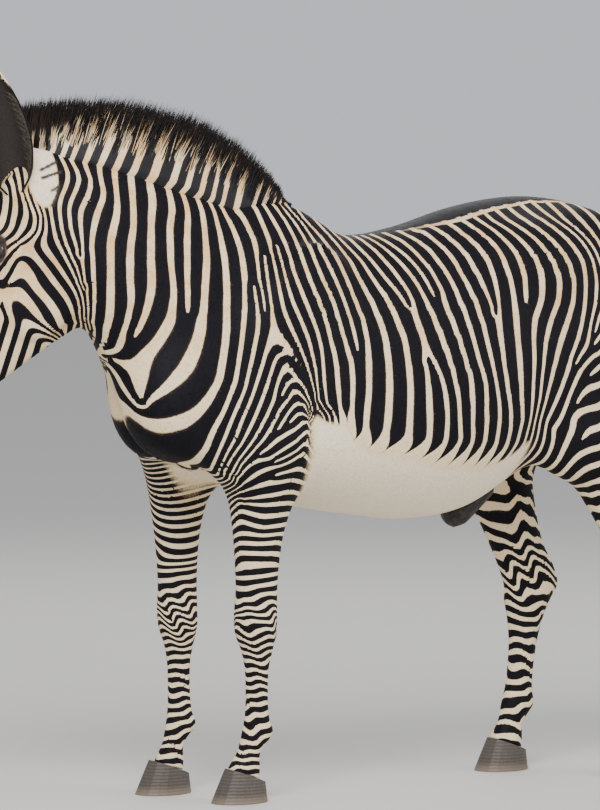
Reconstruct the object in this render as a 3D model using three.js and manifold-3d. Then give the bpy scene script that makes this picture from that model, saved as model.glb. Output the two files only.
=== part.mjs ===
// A life-size standing zebra stallion, made as a still display model.
// Millimetres, +Z up. The nose points to -X and the animal's left side to -Y.
// The origin is on the floor, under the middle of the whole model.
//
// The body is one smooth field: a number for each point of space, below zero inside the animal.
// Each named part wraps a net of rays round its own axis, keeps the points where the field is zero,
// and is parted from its neighbours by thin plane cuts.
import * as THREE from "three";
import { mergeVertices } from "three/addons/utils/BufferGeometryUtils.js";
import Module from "manifold-3d";

const wasm = await Module();
wasm.setup();

// ---- Driving dimensions ----
const GAP = 0.3; // between pieces that meet
const EYE_RADIUS = 23;
const EYE_GAP = 0.5; // round the eyeball, in its socket
const EAR_LENGTH = 312; // from inside the head to the tip
const EAR_WALL = 5;
const HOOF_HEIGHT = 88; // at the toe
const FORELEG_SPREAD = 148; // from the mid plane to each leg at the elbow
const HINDLEG_SPREAD = 150;
const LEFT_FORE_X = -204; // where the cannon bones stand
const RIGHT_FORE_X = -282;
const LEFT_HIND = { stifle: 828, hock: 1000, fetlock: 980 };
const RIGHT_HIND = { stifle: 668, hock: 788, fetlock: 745 };
const BEND = { start: -300, length: 330, angle: THREE.MathUtils.degToRad(25) }; // the neck turns to its right
const CENTRE = [63.8, 2.5]; // the middle of the model, which the origin stands under

// ---- Lofted forms ----
// A row is: distance along the axis, lower edge, upper edge, half width, narrowing of the upper edge, sideways shift.
// "along" and "up" are directions in the XZ plane. On a leg, along is +Z and up is +X, towards the tail.
const FORWARD_AND_UP = (degrees) => {
  const a = THREE.MathUtils.degToRad(degrees);
  return { along: [-Math.cos(a), Math.sin(a)], up: [Math.sin(a), Math.cos(a)] };
};
const LENGTHWISE = { along: [1, 0], up: [0, 1] };
const UPRIGHT = { along: [0, 1], up: [1, 0] };

const trunkForm = {
  ...LENGTHWISE,
  origin: [0, 0],
  caps: [150, 110],
  rows: [
    [-290, 845, 1350, 178, 0.1],
    [-160, 778, 1470, 204, 0.3],
    [-60, 746, 1510, 228, 0.45],
    [30, 728, 1480, 248, 0.4],
    [130, 712, 1440, 268, 0.2],
    [290, 692, 1458, 290, 0.05],
    [460, 712, 1505, 288, 0.02],
    [600, 788, 1529, 268, 0.1],
    [720, 862, 1529, 246, 0.2],
    [820, 930, 1500, 220, 0.3],
    [930, 1030, 1425, 160, 0.4],
  ],
};

const neckForm = {
  ...FORWARD_AND_UP(28),
  origin: [-150, 1250],
  caps: [80, 50],
  rows: [
    [0, -400, 262, 150, 0.4],
    [120, -392, 244, 142, 0.45],
    [280, -315, 208, 124, 0.48],
    [380, -248, 188, 112, 0.45],
    [480, -205, 172, 102, 0.4],
    [600, -165, 142, 90, 0.3],
    [690, -110, 100, 70, 0.2],
  ],
};

const headFrame = { ...FORWARD_AND_UP(-57), origin: [-712, 1500] };
const skullForm = {
  ...headFrame,
  caps: [50, 36],
  rows: [
    [-90, 0, 118, 66, 0],
    [0, -50, 130, 84, -0.05],
    [80, -70, 128, 92, -0.08],
    [150, -70, 118, 90, -0.05],
    [230, -60, 104, 74, 0.15],
    [330, -50, 92, 58, 0.25],
    [430, -48, 86, 49, 0.2],
    [500, -58, 88, 55, 0.0],
    [548, -62, 78, 52, 0.0],
  ],
};
const jawForm = {
  ...headFrame,
  caps: [50, 24],
  rows: [
    [115, -200, -10, 44, -0.2],
    [180, -234, 0, 50, -0.2],
    [262, -205, 0, 48, -0.2],
    [335, -176, 0, 42, -0.15],
    [430, -140, 0, 37, -0.1],
    [510, -108, 0, 42, 0],
    [552, -94, -10, 40, 0],
  ],
};

const foreRows = [
  [905, -115, 150, 84, 0, 14],
  [800, -90, 112, 72, 0, 6],
  [700, -72, 76, 59, 0, 0],
  [620, -63, 63, 52, 0, -4],
  [540, -59, 58, 49, 0, -7],
  [475, -62, 58, 53, 0, -9],
  [430, -58, 57, 51, 0, -10],
  [385, -41, 47, 39, 0, -11],
  [340, -32, 38, 30, 0, -12],
  [260, -30, 37, 27, 0, -13],
  [210, -33, 42, 29, 0, -14],
  [175, -39, 51, 35, 0, -15],
  [128, -52, 16, 31, 0, -16],
  [85, -78, 14, 38, 0, -17],
  [45, -88, 10, 40, 0, -17],
];
// On a hind leg the edges are measured from the line through stifle, hock and fetlock.
const HOCK_Z = 490;
const STIFLE_Z = 850;
const FETLOCK_Z = 172;
const hindRows = [
  [900, -150, 150, 84, 0, 8],
  [850, -140, 138, 80, 0, 6],
  [760, -112, 106, 70, 0, 2],
  [676, -92, 88, 61, 0, -3],
  [600, -80, 82, 55, 0, -6],
  [540, -74, 94, 51, 0, -8],
  [490, -74, 90, 50, 0, -9],
  [450, -68, 72, 48, 0, -10],
  [405, -54, 56, 42, 0, -11],
  [345, -42, 46, 35, 0, -12],
  [275, -37, 43, 31, 0, -13],
  [215, -38, 46, 32, 0, -14],
  [172, -44, 54, 37, 0, -15],
  [125, -56, 22, 32, 0, -16],
  [85, -80, 18, 39, 0, -17],
  [45, -90, 14, 42, 0, -17],
];
const hoofRows = [
  [110, -72, 20, 38, 0.0],
  [80, -86, 24, 43, 0.05],
  [0, -122, 34, 56, 0.12],
  [-25, -132, 37, 60, 0.12],
];

// The line of a hind leg leans from stifle to hock and back from hock to fetlock.
function hindLine(stance, z) {
  const upper = (z - HOCK_Z) / (STIFLE_Z - HOCK_Z);
  const lower = (HOCK_Z - z) / (HOCK_Z - FETLOCK_Z);
  return z > HOCK_Z
    ? stance.hock + (stance.stifle - stance.hock) * upper
    : stance.hock + (stance.fetlock - stance.hock) * Math.min(lower, 1);
}

const legForm = (x, side, rows) => ({
  ...UPRIGHT,
  origin: [x, 0],
  caps: [30, 60],
  rows: rows.map(([z, front, rear, width, taper, out]) => [z, front, rear, width, taper, side * out]),
});
const foreForm = (x, side) => ({ ...legForm(x, side, foreRows), y: side * FORELEG_SPREAD });
const hindForm = (stance, side) => {
  const leaning = hindRows.map(([z, front, rear, ...rest]) => {
    const x = hindLine(stance, z);
    return [z, x + front, x + rear, ...rest];
  });
  return { ...legForm(0, side, leaning), y: side * HINDLEG_SPREAD };
};

const tailForm = {
  ...UPRIGHT,
  origin: [0, 0],
  caps: [25, 60],
  rows: [
    [880, 1104, 1136, 15, 0],
    [1000, 1098, 1138, 19, 0],
    [1120, 1086, 1138, 24, 0],
    [1230, 1054, 1122, 32, 0],
    [1320, 1000, 1092, 40, 0],
  ],
};
const tuftForm = {
  ...UPRIGHT,
  origin: [0, 0],
  caps: [40, 110],
  rows: [
    [520, 1112, 1152, 16, 0],
    [600, 1088, 1160, 34, 0],
    [700, 1082, 1162, 40, 0],
    [800, 1088, 1154, 34, 0],
    [860, 1096, 1144, 25, 0],
  ],
};
const sheathForm = {
  ...FORWARD_AND_UP(-38),
  origin: [560, 774],
  caps: [30, 40],
  rows: [
    [0, -36, 40, 40, 0],
    [60, -40, 40, 42, 0],
    [112, -42, 38, 42, 0],
  ],
};
// The upright mane, measured along the neck: its hair tips are the upper edge.
const maneForm = {
  ...FORWARD_AND_UP(28),
  origin: [-150, 1250],
  caps: [20, 30],
  rows: [
    [-10, 150, 278, 26, 0.3],
    [45, 150, 312, 30, 0.5],
    [107, 145, 345, 34, 0.6],
    [172, 135, 370, 36, 0.65],
    [240, 125, 383, 37, 0.65],
    [310, 115, 386, 37, 0.65],
    [370, 105, 380, 37, 0.65],
    [444, 90, 360, 37, 0.65],
    [526, 70, 332, 36, 0.6],
    [614, 45, 286, 34, 0.6],
    [698, 20, 226, 32, 0.5],
    [770, -20, 168, 28, 0.4],
  ],
};

// ---- Rounded masses under the hide: place, half sizes and pitch in degrees. Each is on both sides. ----
const bodyMasses = [
  { name: "shoulder blade", at: [-110, 165, 1210], size: [125, 62, 235], pitch: -28, blend: 90 },
  { name: "point of shoulder", at: [-384, 134, 1002], size: [112, 82, 125], pitch: 20, blend: 80 },
  { name: "upper arm", at: [-200, 168, 930], size: [150, 74, 135], pitch: 25, blend: 80 },
  { name: "breast", at: [-428, 70, 1000], size: [84, 62, 120], pitch: 15, blend: 60 },
  { name: "hip", at: [640, 165, 1355], size: [120, 78, 85], pitch: -10, blend: 110 },
  { name: "croup", at: [800, 85, 1350], size: [180, 100, 130], pitch: 14, blend: 100 },
  { name: "thigh", at: [842, 150, 1080], size: [172, 88, 235], pitch: -12, blend: 100 },
  { name: "buttock", at: [962, 84, 1140], size: [92, 74, 170], pitch: 8, blend: 90 },
  { name: "stifle", at: [712, 168, 905], size: [98, 66, 120], pitch: 30, blend: 80 },
];
// In the head's own frame: along the head, up from its axis, sideways.
const headMasses = [
  { name: "cheek", at: [185, -115, 40], size: [100, 88, 34], blend: 30 },
  { name: "brow", at: [116, 66, 74], size: [50, 28, 30], blend: 24 },
  { name: "temple", at: [30, 64, 60], size: [60, 44, 30], blend: 24 },
  { name: "lower lid", at: [146, 26, 74], size: [44, 24, 20], blend: 22 },
  { name: "nostril rim", at: [515, 42, 36], size: [44, 34, 26], blend: 20 },
  { name: "upper lip", at: [560, 8, 24], size: [30, 50, 30], blend: 24 },
  { name: "chin", at: [535, -92, 14], size: [36, 20, 30], blend: 20 },
];
const nostril = { at: [535, 52, 50], size: [24, 11, 17] };
const EYE_AT = [133, 46, 80];

// ---- The field ----
// Tangents of each column, so that edges run smoothly through the rows.
function smoothRows(form) {
  const rows = [...form.rows].sort((a, b) => a[0] - b[0]);
  const slopes = rows.map((row, i) => {
    const before = rows[Math.max(i - 1, 0)];
    const after = rows[Math.min(i + 1, rows.length - 1)];
    return row.map((value, k) => (after[k] - before[k]) / (after[0] - before[0]));
  });
  return { ...form, rows, slopes };
}

function rowAt(form, s) {
  const { rows, slopes } = form;
  let i = 0;
  while (i < rows.length - 2 && s > rows[i + 1][0]) i++;
  const h = rows[i + 1][0] - rows[i][0];
  const t = (s - rows[i][0]) / h;
  const [t2, t3] = [t * t, t * t * t];
  return rows[i].map(
    (a, k) =>
      (2 * t3 - 3 * t2 + 1) * a +
      (t3 - 2 * t2 + t) * h * slopes[i][k] +
      (3 * t2 - 2 * t3) * rows[i + 1][k] +
      (t3 - t2) * h * slopes[i + 1][k],
  );
}

// About how far a point is from a form's surface, in millimetres.
function formDistance(form, x, y, z) {
  const [dx, dz] = [x - form.origin[0], z - form.origin[1]];
  const along = dx * form.along[0] + dz * form.along[1];
  const first = form.rows[0][0];
  const last = form.rows[form.rows.length - 1][0];
  const s = Math.min(Math.max(along, first), last);
  const [, low, high, side, taper, shift = 0] = rowAt(form, s);
  const half = (high - low) / 2;
  const u = (dx * form.up[0] + dz * form.up[1] - (low + high) / 2) / half;
  const width = side * (1 - taper * Math.min(Math.max(u, -1), 1));
  const v = (y - (form.y ?? 0) - shift) / width;
  const cap = along < first ? form.caps[0] : form.caps[1];
  const e = (along - s) / cap;
  const n = Math.hypot(u, v, e) + 1e-6;
  return ((n - 1) * n) / Math.hypot(u / half, v / width, e / cap, 1e-9);
}

function massDistance(mass, x, y, z) {
  const a = THREE.MathUtils.degToRad(mass.pitch ?? 0);
  const [dx, dz] = [x - mass.at[0], z - mass.at[2]];
  const p = (dx * Math.cos(a) + dz * Math.sin(a)) / mass.size[0];
  const r = (dz * Math.cos(a) - dx * Math.sin(a)) / mass.size[2];
  const q = (Math.abs(y) - mass.at[1]) / mass.size[1];
  const n = Math.hypot(p, q, r) + 1e-6;
  return ((n - 1) * n) / Math.hypot(p / mass.size[0], q / mass.size[1], r / mass.size[2], 1e-9);
}

function join(a, b, blend) {
  const h = Math.max(blend - Math.abs(a - b), 0) / blend;
  return Math.min(a, b) - (h * h * blend) / 4;
}

// A point of the head's own frame (along, up, sideways) in the body's frame.
function headPoint([along, up, side]) {
  const { origin, along: a, up: u } = headFrame;
  return [origin[0] + along * a[0] + up * u[0], side, origin[1] + along * a[1] + up * u[1]];
}
const headPitch = (Math.atan2(headFrame.along[1], headFrame.along[0]) * 180) / Math.PI;
const headMass = (mass) => ({
  ...mass,
  at: headPoint(mass.at),
  size: [mass.size[0], mass.size[2], mass.size[1]],
  pitch: headPitch,
});

const trunk = smoothRows(trunkForm);
const neck = smoothRows(neckForm);
const skull = smoothRows(skullForm);
const jaw = smoothRows(jawForm);
const legs = {
  left_fore: smoothRows(foreForm(LEFT_FORE_X, -1)),
  right_fore: smoothRows(foreForm(RIGHT_FORE_X, 1)),
  left_hind: smoothRows(hindForm(LEFT_HIND, -1)),
  right_hind: smoothRows(hindForm(RIGHT_HIND, 1)),
};
const faceMasses = headMasses.map(headMass);
const nostrilHole = headMass(nostril);

function trunkField(x, y, z) {
  let d = formDistance(trunk, x, y, z);
  for (const mass of bodyMasses) d = join(d, massDistance(mass, x, y, z), mass.blend);
  return d;
}

function headField(x, y, z) {
  let d = join(formDistance(skull, x, y, z), formDistance(jaw, x, y, z), 40);
  for (const mass of faceMasses) d = join(d, massDistance(mass, x, y, z), mass.blend);
  return -join(-d, massDistance(nostrilHole, x, y, z), 8);
}

// The whole body with its neck straight.
function bodyField(x, y, z) {
  let d = join(trunkField(x, y, z), formDistance(neck, x, y, z), 100);
  if (x < -450) d = join(d, headField(x, y, z), 45);
  for (const leg of Object.values(legs)) d = join(d, formDistance(leg, x, y, z), 55);
  return d;
}

// ---- Turning the neck ----
function bendPoint(p) {
  const ahead = BEND.start - p.x;
  if (ahead <= 0) return p;
  const radius = BEND.length / BEND.angle;
  const turn = Math.min(ahead, BEND.length) / radius;
  const straight = Math.max(ahead - BEND.length, 0);
  const x = BEND.start - Math.sin(turn) * (radius - p.y) - straight * Math.cos(turn);
  const y = radius - Math.cos(turn) * (radius - p.y) + straight * Math.sin(turn);
  return p.set(x, y, p.z);
}

const turnAt = (x) =>
  (Math.min(Math.max(BEND.start - x, 0), BEND.length) / BEND.length) * BEND.angle;

// ---- Nets of rays ----
// Walks from a point inside to where the field passes "level".
function reach(field, from, direction, limit, level) {
  const value = (t) =>
    field(from.x + direction.x * t, from.y + direction.y * t, from.z + direction.z * t) - level;
  let [inside, t] = [0, 3];
  while (t < limit && value(t) < 0) {
    inside = t;
    t += Math.max(3, Math.min(-value(t) * 0.6, 25));
  }
  let outside = Math.min(t, limit);
  if (value(outside) < 0) return outside;
  for (let i = 0; i < 18; i++) {
    const middle = (inside + outside) / 2;
    if (value(middle) < 0) inside = middle;
    else outside = middle;
  }
  return (inside + outside) / 2;
}

// A closed net round an axis of [x, y, z] points. Its rings lie square to "along".
// "domes" rings lean outwards at each end; "squash" crowds the rays towards the high and low edges.
function wrap({ field, axis, along, segments, domes = [0, 0], squash = 1, turn = 0.5, ...rest }) {
  const { limit = 700, level = 0, bent = true } = rest;
  const forward = new THREE.Vector3(...along).normalize();
  const across = new THREE.Vector3(0, 1, 0);
  const upward = new THREE.Vector3().crossVectors(forward, across).normalize();
  const centres = axis.map((p) => new THREE.Vector3(...p));
  const [first, last] = [centres[0], centres[centres.length - 1]];
  const lean = (i, count) => (Math.PI / 2) * (i / (count + 1));
  const rings = centres.map((centre) => [centre, 0]);
  for (let i = 1; i <= domes[0]; i++) rings.unshift([first, -lean(i, domes[0])]);
  for (let i = 1; i <= domes[1]; i++) rings.push([last, lean(i, domes[1])]);

  const points = [];
  const hit = (from, direction) => {
    const t = reach(field, from, direction, limit, level);
    points.push(from.clone().addScaledVector(direction, t));
  };
  hit(first, forward.clone().negate());
  for (const [centre, angle] of rings)
    for (let j = 0; j < segments; j++) {
      const a = (2 * Math.PI * (j + turn)) / segments;
      const ray = upward.clone().multiplyScalar(Math.cos(a)).addScaledVector(across, squash * Math.sin(a));
      ray.normalize().multiplyScalar(Math.cos(angle)).addScaledVector(forward, Math.sin(angle));
      hit(centre, ray);
    }
  hit(last, forward);
  if (bent) points.forEach(bendPoint);

  const index = [];
  const ring = (i, j) => 1 + i * segments + (j % segments);
  for (let j = 0; j < segments; j++) {
    index.push(0, ring(0, j + 1), ring(0, j));
    for (let i = 0; i < rings.length - 1; i++) {
      const [a, b, c, d] = [ring(i, j), ring(i, j + 1), ring(i + 1, j), ring(i + 1, j + 1)];
      index.push(a, b, c, b, d, c);
    }
    index.push(points.length - 1, ring(rings.length - 1, j), ring(rings.length - 1, j + 1));
  }
  const geometry = new THREE.BufferGeometry().setFromPoints(points);
  geometry.setIndex(index);
  return solid(geometry);
}

// Evenly spaced axis points between two ends, with a bow up or down in the middle.
function line(from, to, count, bow = 0) {
  return Array.from({ length: count }, (_, i) => {
    const t = i / (count - 1);
    const p = from.map((a, k) => a + (to[k] - a) * t);
    p[2] += bow * Math.sin(Math.PI * t);
    return p;
  });
}

// The middle of a lofted form at each of the distances given.
function spine(form, distances) {
  const { origin, along, up } = form;
  return distances.map((s) => {
    const [, low, high, , , shift = 0] = rowAt(form, s);
    const middle = (low + high) / 2;
    const [x, z] = [0, 1].map((k) => origin[k] + s * along[k] + middle * up[k]);
    return [x, (form.y ?? 0) + shift, z];
  });
}
const steps = (from, to, count) =>
  Array.from({ length: count }, (_, i) => from + ((to - from) * i) / (count - 1));

// ---- Solids and cuts ----
function solid(geometry) {
  const bare = new THREE.BufferGeometry();
  bare.setAttribute("position", geometry.getAttribute("position"));
  if (geometry.index) bare.setIndex(geometry.index);
  const merged = mergeVertices(bare, 1e-3);
  const mesh = new wasm.Mesh({
    numProp: 3,
    vertProperties: new Float32Array(merged.attributes.position.array),
    triVerts: new Uint32Array(merged.index.array),
  });
  const made = new wasm.Manifold(mesh);
  if (made.volume() > 0) return made;
  mesh.triVerts.reverse();
  return new wasm.Manifold(mesh);
}

function largest(manifold) {
  return manifold.decompose().sort((a, b) => b.volume() - a.volume())[0];
}

// Everything on the side of a plane that "normal" points to, less half the gap.
const REACH = 4000;
function beyond(point, normal, gap = GAP) {
  const n = new THREE.Vector3(...normal).normalize();
  const block = new THREE.BoxGeometry(REACH, REACH, REACH);
  block.translate(0, 0, REACH / 2 + gap / 2);
  block.applyQuaternion(new THREE.Quaternion().setFromUnitVectors(new THREE.Vector3(0, 0, 1), n));
  block.translate(...point);
  return solid(block);
}
const keep = (piece, point, normal) => piece.intersect(beyond(point, normal));

function geometryOf(manifold) {
  const mesh = manifold.getMesh();
  const geometry = new THREE.BufferGeometry();
  const corners = new Float32Array(mesh.numVert * 3);
  for (let i = 0; i < mesh.numVert; i++)
    corners.set(mesh.vertProperties.subarray(i * mesh.numProp, i * mesh.numProp + 3), i * 3);
  geometry.setAttribute("position", new THREE.BufferAttribute(corners, 3));
  geometry.setIndex(new THREE.BufferAttribute(mesh.triVerts, 1));
  return geometry;
}

// ---- Cut planes: a point, and the side that the outer part lies on ----
const bent = (p) => bendPoint(new THREE.Vector3(...p)).toArray();
const turned = ([x, y, z], at) =>
  new THREE.Vector3(x, y, z).applyAxisAngle(new THREE.Vector3(0, 0, 1), -turnAt(at)).toArray();
const NECK_CUT = { point: [-290, 0, 1290], normal: [-0.76, 0, 0.65] };
const HEAD_CUT = { point: bent([-655, 0, 1440]), normal: turned([-1, 0, 0.12], -655) };
const FORE_CUT = { point: [0, 0, 722], normal: [0, 0, -1] };
const HIND_CUT = { point: [600, 0, 765], normal: [0.32, 0, -1] };
const KNEE_CUT_Z = 380;
const HOCK_CUT_Z = 425;

const flip = (normal) => normal.map((v) => -v);

// ---- The parts ----
// The forelegs leave the trunk ahead of FORE_ZONE and the hind legs behind HIND_ZONE.
const FORE_ZONE = 50;
const HIND_ZONE = 560;
function legFloor(x) {
  if (x < FORE_ZONE) return FORE_CUT.point[2] - 25;
  if (x > HIND_ZONE) return HIND_CUT.point[2] + HIND_CUT.normal[0] * (x - HIND_CUT.point[0]) - 25;
  return 0;
}

function trunkNet(level = 0) {
  return wrap({
    field: (x, y, z) => Math.max(bodyField(x, y, z), legFloor(x) - z),
    axis: line([-400, 0, 1040], [930, 0, 1200], 19, 60),
    along: [1, 0, 0],
    segments: 34,
    domes: [2, 3],
    level,
  });
}
function makeTrunk() {
  const foreRoom = beyond(FORE_CUT.point, FORE_CUT.normal, -GAP).intersect(beyond([FORE_ZONE, 0, 0], [-1, 0, 0]));
  const hindRoom = beyond(HIND_CUT.point, HIND_CUT.normal, -GAP).intersect(beyond([HIND_ZONE, 0, 0], [1, 0, 0]));
  const neckRoom = beyond(NECK_CUT.point, NECK_CUT.normal, -GAP);
  return largest(trunkNet().subtract(neckRoom).subtract(foreRoom).subtract(hindRoom));
}

function neckNet(level = 0) {
  return wrap({
    field: bodyField,
    axis: line([-230, 0, 1230], [-720, 0, 1510], 11, -10),
    along: [-0.87, 0, 0.5],
    segments: 22,
    limit: 480,
    level,
  });
}
function makeNeck() {
  const front = keep(neckNet(), NECK_CUT.point, NECK_CUT.normal);
  return largest(keep(front, HEAD_CUT.point, flip(HEAD_CUT.normal)));
}

function headNet(level = 0) {
  return wrap({
    field: bodyField,
    axis: line(headPoint([-70, 30, 0]), headPoint([540, -6, 0]), 18),
    along: [headFrame.along[0], 0, headFrame.along[1]],
    segments: 24,
    domes: [0, 3],
    limit: 330,
    level,
  });
}
function makeHead() {
  return largest(keep(headNet(), HEAD_CUT.point, HEAD_CUT.normal));
}

function makeLeg({ leg, x, side, cut, split, room }) {
  const form = legs[leg];
  const heights = form.rows.map((row) => row[0]);
  const between = heights.slice(1).map((z, i) => (z + heights[i]) / 2);
  const levels = [...heights, ...between.slice(3)].sort((a, b) => a - b);
  const axis = spine(form, levels);
  const net = wrap({ field: bodyField, axis, along: [0, 0, 1], segments: 14, limit: room, bent: false });
  const limb = keep(keep(net, cut.point, cut.normal), [0, 0, 0], [0, side, 0]);
  const upper = keep(limb, [0, 0, split], [0, 0, 1]);
  const foot = coronet(x);
  const lower = keep(keep(limb, [0, 0, split], [0, 0, -1]), foot.point, flip(foot.normal));
  return [largest(upper), largest(lower)];
}

// The slanted ring where hair ends and horn begins.
const coronet = (x) => ({ point: [x - 80, 0, HOOF_HEIGHT], normal: [-0.36, 0, -1] });

function makeHoof(x, y) {
  const form = smoothRows({ ...UPRIGHT, origin: [x, 0], caps: [10, 10], rows: hoofRows, y });
  const net = wrap({
    field: (px, py, pz) => formDistance(form, px, py, pz),
    axis: [-20, 0, 28, 55, 80, 104].map((z) => [x - 40 + z * 0.18, y, z]),
    along: [0, 0, 1],
    segments: 20,
    bent: false,
  });
  const foot = coronet(x);
  return keep(keep(net, foot.point, foot.normal), [0, 0, -GAP / 2], [0, 0, 1]);
}

function makeFromForm(form, distances, segments, options = {}) {
  const smooth = smoothRows(form);
  return wrap({
    field: (x, y, z) => formDistance(smooth, x, y, z),
    axis: spine(smooth, distances),
    along: [form.along[0], 0, form.along[1]],
    segments,
    domes: [1, 1],
    turn: 0,
    ...options,
  });
}

// A cupped leaf: rings from root to tip, each an arc of even thickness that opens sideways.
const EAR = {
  root: [-12, 88, 66], // in the head's frame
  turnOut: 92, // from facing the tail, round to the side
  leanOut: 8,
  leanForward: 8,
  halfArc: (t) => 1.2 + 1.3 * (1 - t) * (1 - t),
  radius: (t) => 7 + 56 * Math.pow(Math.sin(Math.PI * (0.14 + 0.86 * t)), 0.7),
  rimDrop: (t, edge) => 16 * edge * edge * t,
};

function makeEar(side) {
  const points = [];
  const [rings, arc] = [12, 7];
  for (let i = 0; i < rings; i++) {
    const t = i / (rings - 1);
    const radius = EAR.radius(Math.min(t, 0.995));
    for (let j = 0; j < 2 * arc; j++) {
      const outer = j < arc;
      const across = (2 * (outer ? j : 2 * arc - 1 - j)) / (arc - 1) - 1;
      const a = EAR.halfArc(t) * across;
      const edge = Math.abs(across);
      const r = outer ? radius : radius - EAR_WALL * (1 - 0.35 * edge);
      const rise = t * EAR_LENGTH - EAR.rimDrop(t, edge);
      points.push(new THREE.Vector3(0.5 * radius - r * Math.cos(a), r * Math.sin(a), rise));
    }
  }
  const index = [];
  const n = 2 * arc;
  for (let i = 0; i < rings - 1; i++)
    for (let j = 0; j < n; j++) {
      const [a, b] = [i * n + j, i * n + ((j + 1) % n)];
      index.push(a, b, a + n, b, b + n, a + n);
    }
  for (const i of [0, rings - 1])
    for (let k = 0; k < arc - 1; k++) {
      const [a, b, c, d] = [k, k + 1, n - 1 - k, n - 2 - k].map((v) => i * n + v);
      index.push(...(i ? [a, b, c, b, d, c] : [a, c, b, b, c, d]));
    }
  const root = headPoint([EAR.root[0], EAR.root[1], side * EAR.root[2]]);
  const pose = new THREE.Matrix4()
    .makeTranslation(...root)
    .multiply(new THREE.Matrix4().makeRotationX(-side * THREE.MathUtils.degToRad(EAR.leanOut)))
    .multiply(new THREE.Matrix4().makeRotationY(-THREE.MathUtils.degToRad(EAR.leanForward)))
    .multiply(new THREE.Matrix4().makeRotationZ(side * THREE.MathUtils.degToRad(EAR.turnOut)));
  points.forEach((p) => bendPoint(p.applyMatrix4(pose)));
  const geometry = new THREE.BufferGeometry().setFromPoints(points);
  geometry.setIndex(index);
  return solid(geometry);
}

function makeEye(side, radius) {
  const ball = new THREE.SphereGeometry(radius, 12, 8);
  ball.translate(...bent(headPoint([EYE_AT[0], EYE_AT[1], side * EYE_AT[2]])));
  return solid(ball);
}

// ---- Colours ----
const finish = (color, roughness) => new THREE.MeshStandardMaterial({ color, roughness, metalness: 0 });
const COAT = finish(0xb9ab97, 0.75);
const MANE = finish(0x2a211c, 0.85);
const HORN = finish(0x3a332e, 0.5);
const EYE = finish(0x120c09, 0.08);
const DARK_SKIN = finish(0x2b2627, 0.6);

const model = new THREE.Group();
const placed = new THREE.Group();
placed.position.set(-CENTRE[0], -CENTRE[1], 0);
model.add(placed);
function add(name, manifold, material) {
  const mesh = new THREE.Mesh(geometryOf(manifold), material);
  mesh.name = name;
  placed.add(mesh);
}

// Neighbours a little larger, for cutting what grows from them.
const roomy = { trunk: trunkNet(1), neck: neckNet(1), head: headNet(1) };
const clearOfBody = (piece, ...names) =>
  largest(names.reduce((cut, name) => cut.subtract(roomy[name]), piece));

const eyes = { left: -1, right: 1 };
let head = makeHead();
for (const side of Object.values(eyes)) head = head.subtract(makeEye(side, EYE_RADIUS + EYE_GAP));
add("trunk", makeTrunk(), COAT);
add("neck", makeNeck(), COAT);
add("head", largest(head), COAT);
for (const [name, side] of Object.entries(eyes)) {
  add("eye_" + name, makeEye(side, EYE_RADIUS), EYE);
  add("ear_" + name, clearOfBody(makeEar(side), "head", "neck"), COAT);
}

const mane = makeFromForm(maneForm, steps(-10, 770, 16), 10, { squash: 0.25 });
add("mane", clearOfBody(mane, "neck", "head", "trunk"), MANE);

const fore = { spread: FORELEG_SPREAD, cut: FORE_CUT, split: KNEE_CUT_Z, room: 240 };
const hind = { spread: HINDLEG_SPREAD, cut: HIND_CUT, split: HOCK_CUT_Z, room: 330 };
const stances = [
  { ...fore, kind: "fore", name: "left", side: -1, x: LEFT_FORE_X },
  { ...fore, kind: "fore", name: "right", side: 1, x: RIGHT_FORE_X },
  { ...hind, kind: "hind", name: "left", side: -1, x: LEFT_HIND.fetlock },
  { ...hind, kind: "hind", name: "right", side: 1, x: RIGHT_HIND.fetlock },
];
for (const stance of stances) {
  const { kind, name, side } = stance;
  const [upper, lower] = makeLeg({ ...stance, leg: name + "_" + kind });
  add(`${kind}leg_${name}_upper`, upper, COAT);
  add(`${kind}leg_${name}_lower`, lower, COAT);
  add(`${kind}_hoof_${name}`, makeHoof(stance.x, side * (stance.spread - 17)), HORN);
}

const tail = (level) => makeFromForm(tailForm, steps(880, 1320, 8), 10, { level });
const tuft = makeFromForm(tuftForm, steps(520, 940, 10), 10);
const sheath = makeFromForm(sheathForm, steps(0, 112, 5), 12);
add("tail", clearOfBody(tail(0), "trunk"), COAT);
add("tail_tuft", largest(tuft.subtract(tail(1))), MANE);
add("sheath", clearOfBody(sheath, "trunk"), DARK_SKIN);

export default model;
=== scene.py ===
import math
from functools import partial

import bmesh
import bpy
import numpy as np
from mathutils import Matrix, Vector
from mathutils.bvhtree import BVHTree


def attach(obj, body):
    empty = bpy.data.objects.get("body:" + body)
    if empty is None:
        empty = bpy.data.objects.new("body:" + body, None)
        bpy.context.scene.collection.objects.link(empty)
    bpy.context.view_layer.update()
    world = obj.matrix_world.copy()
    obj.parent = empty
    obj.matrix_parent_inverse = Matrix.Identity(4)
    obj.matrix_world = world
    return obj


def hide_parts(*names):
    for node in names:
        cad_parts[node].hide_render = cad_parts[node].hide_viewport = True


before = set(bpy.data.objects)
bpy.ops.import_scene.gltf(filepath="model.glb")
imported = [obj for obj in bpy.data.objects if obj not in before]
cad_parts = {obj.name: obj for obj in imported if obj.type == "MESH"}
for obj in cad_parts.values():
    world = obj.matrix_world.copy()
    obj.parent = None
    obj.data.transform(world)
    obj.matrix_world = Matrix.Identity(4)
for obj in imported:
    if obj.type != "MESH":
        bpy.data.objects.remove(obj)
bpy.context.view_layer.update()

scene = bpy.context.scene

# The body is described in millimetres with its neck straight, then the neck is turned.
bodyMiddle = np.array([63.8, 2.5, 0.0])  # the point of the description that stands over the origin
neckTurn = {"start": -300.0, "length": 330.0, "angle": math.radians(25)}
coatDepth = {"body": 3.0, "face": 1.5}  # mm of hair that stands over the skin

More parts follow.
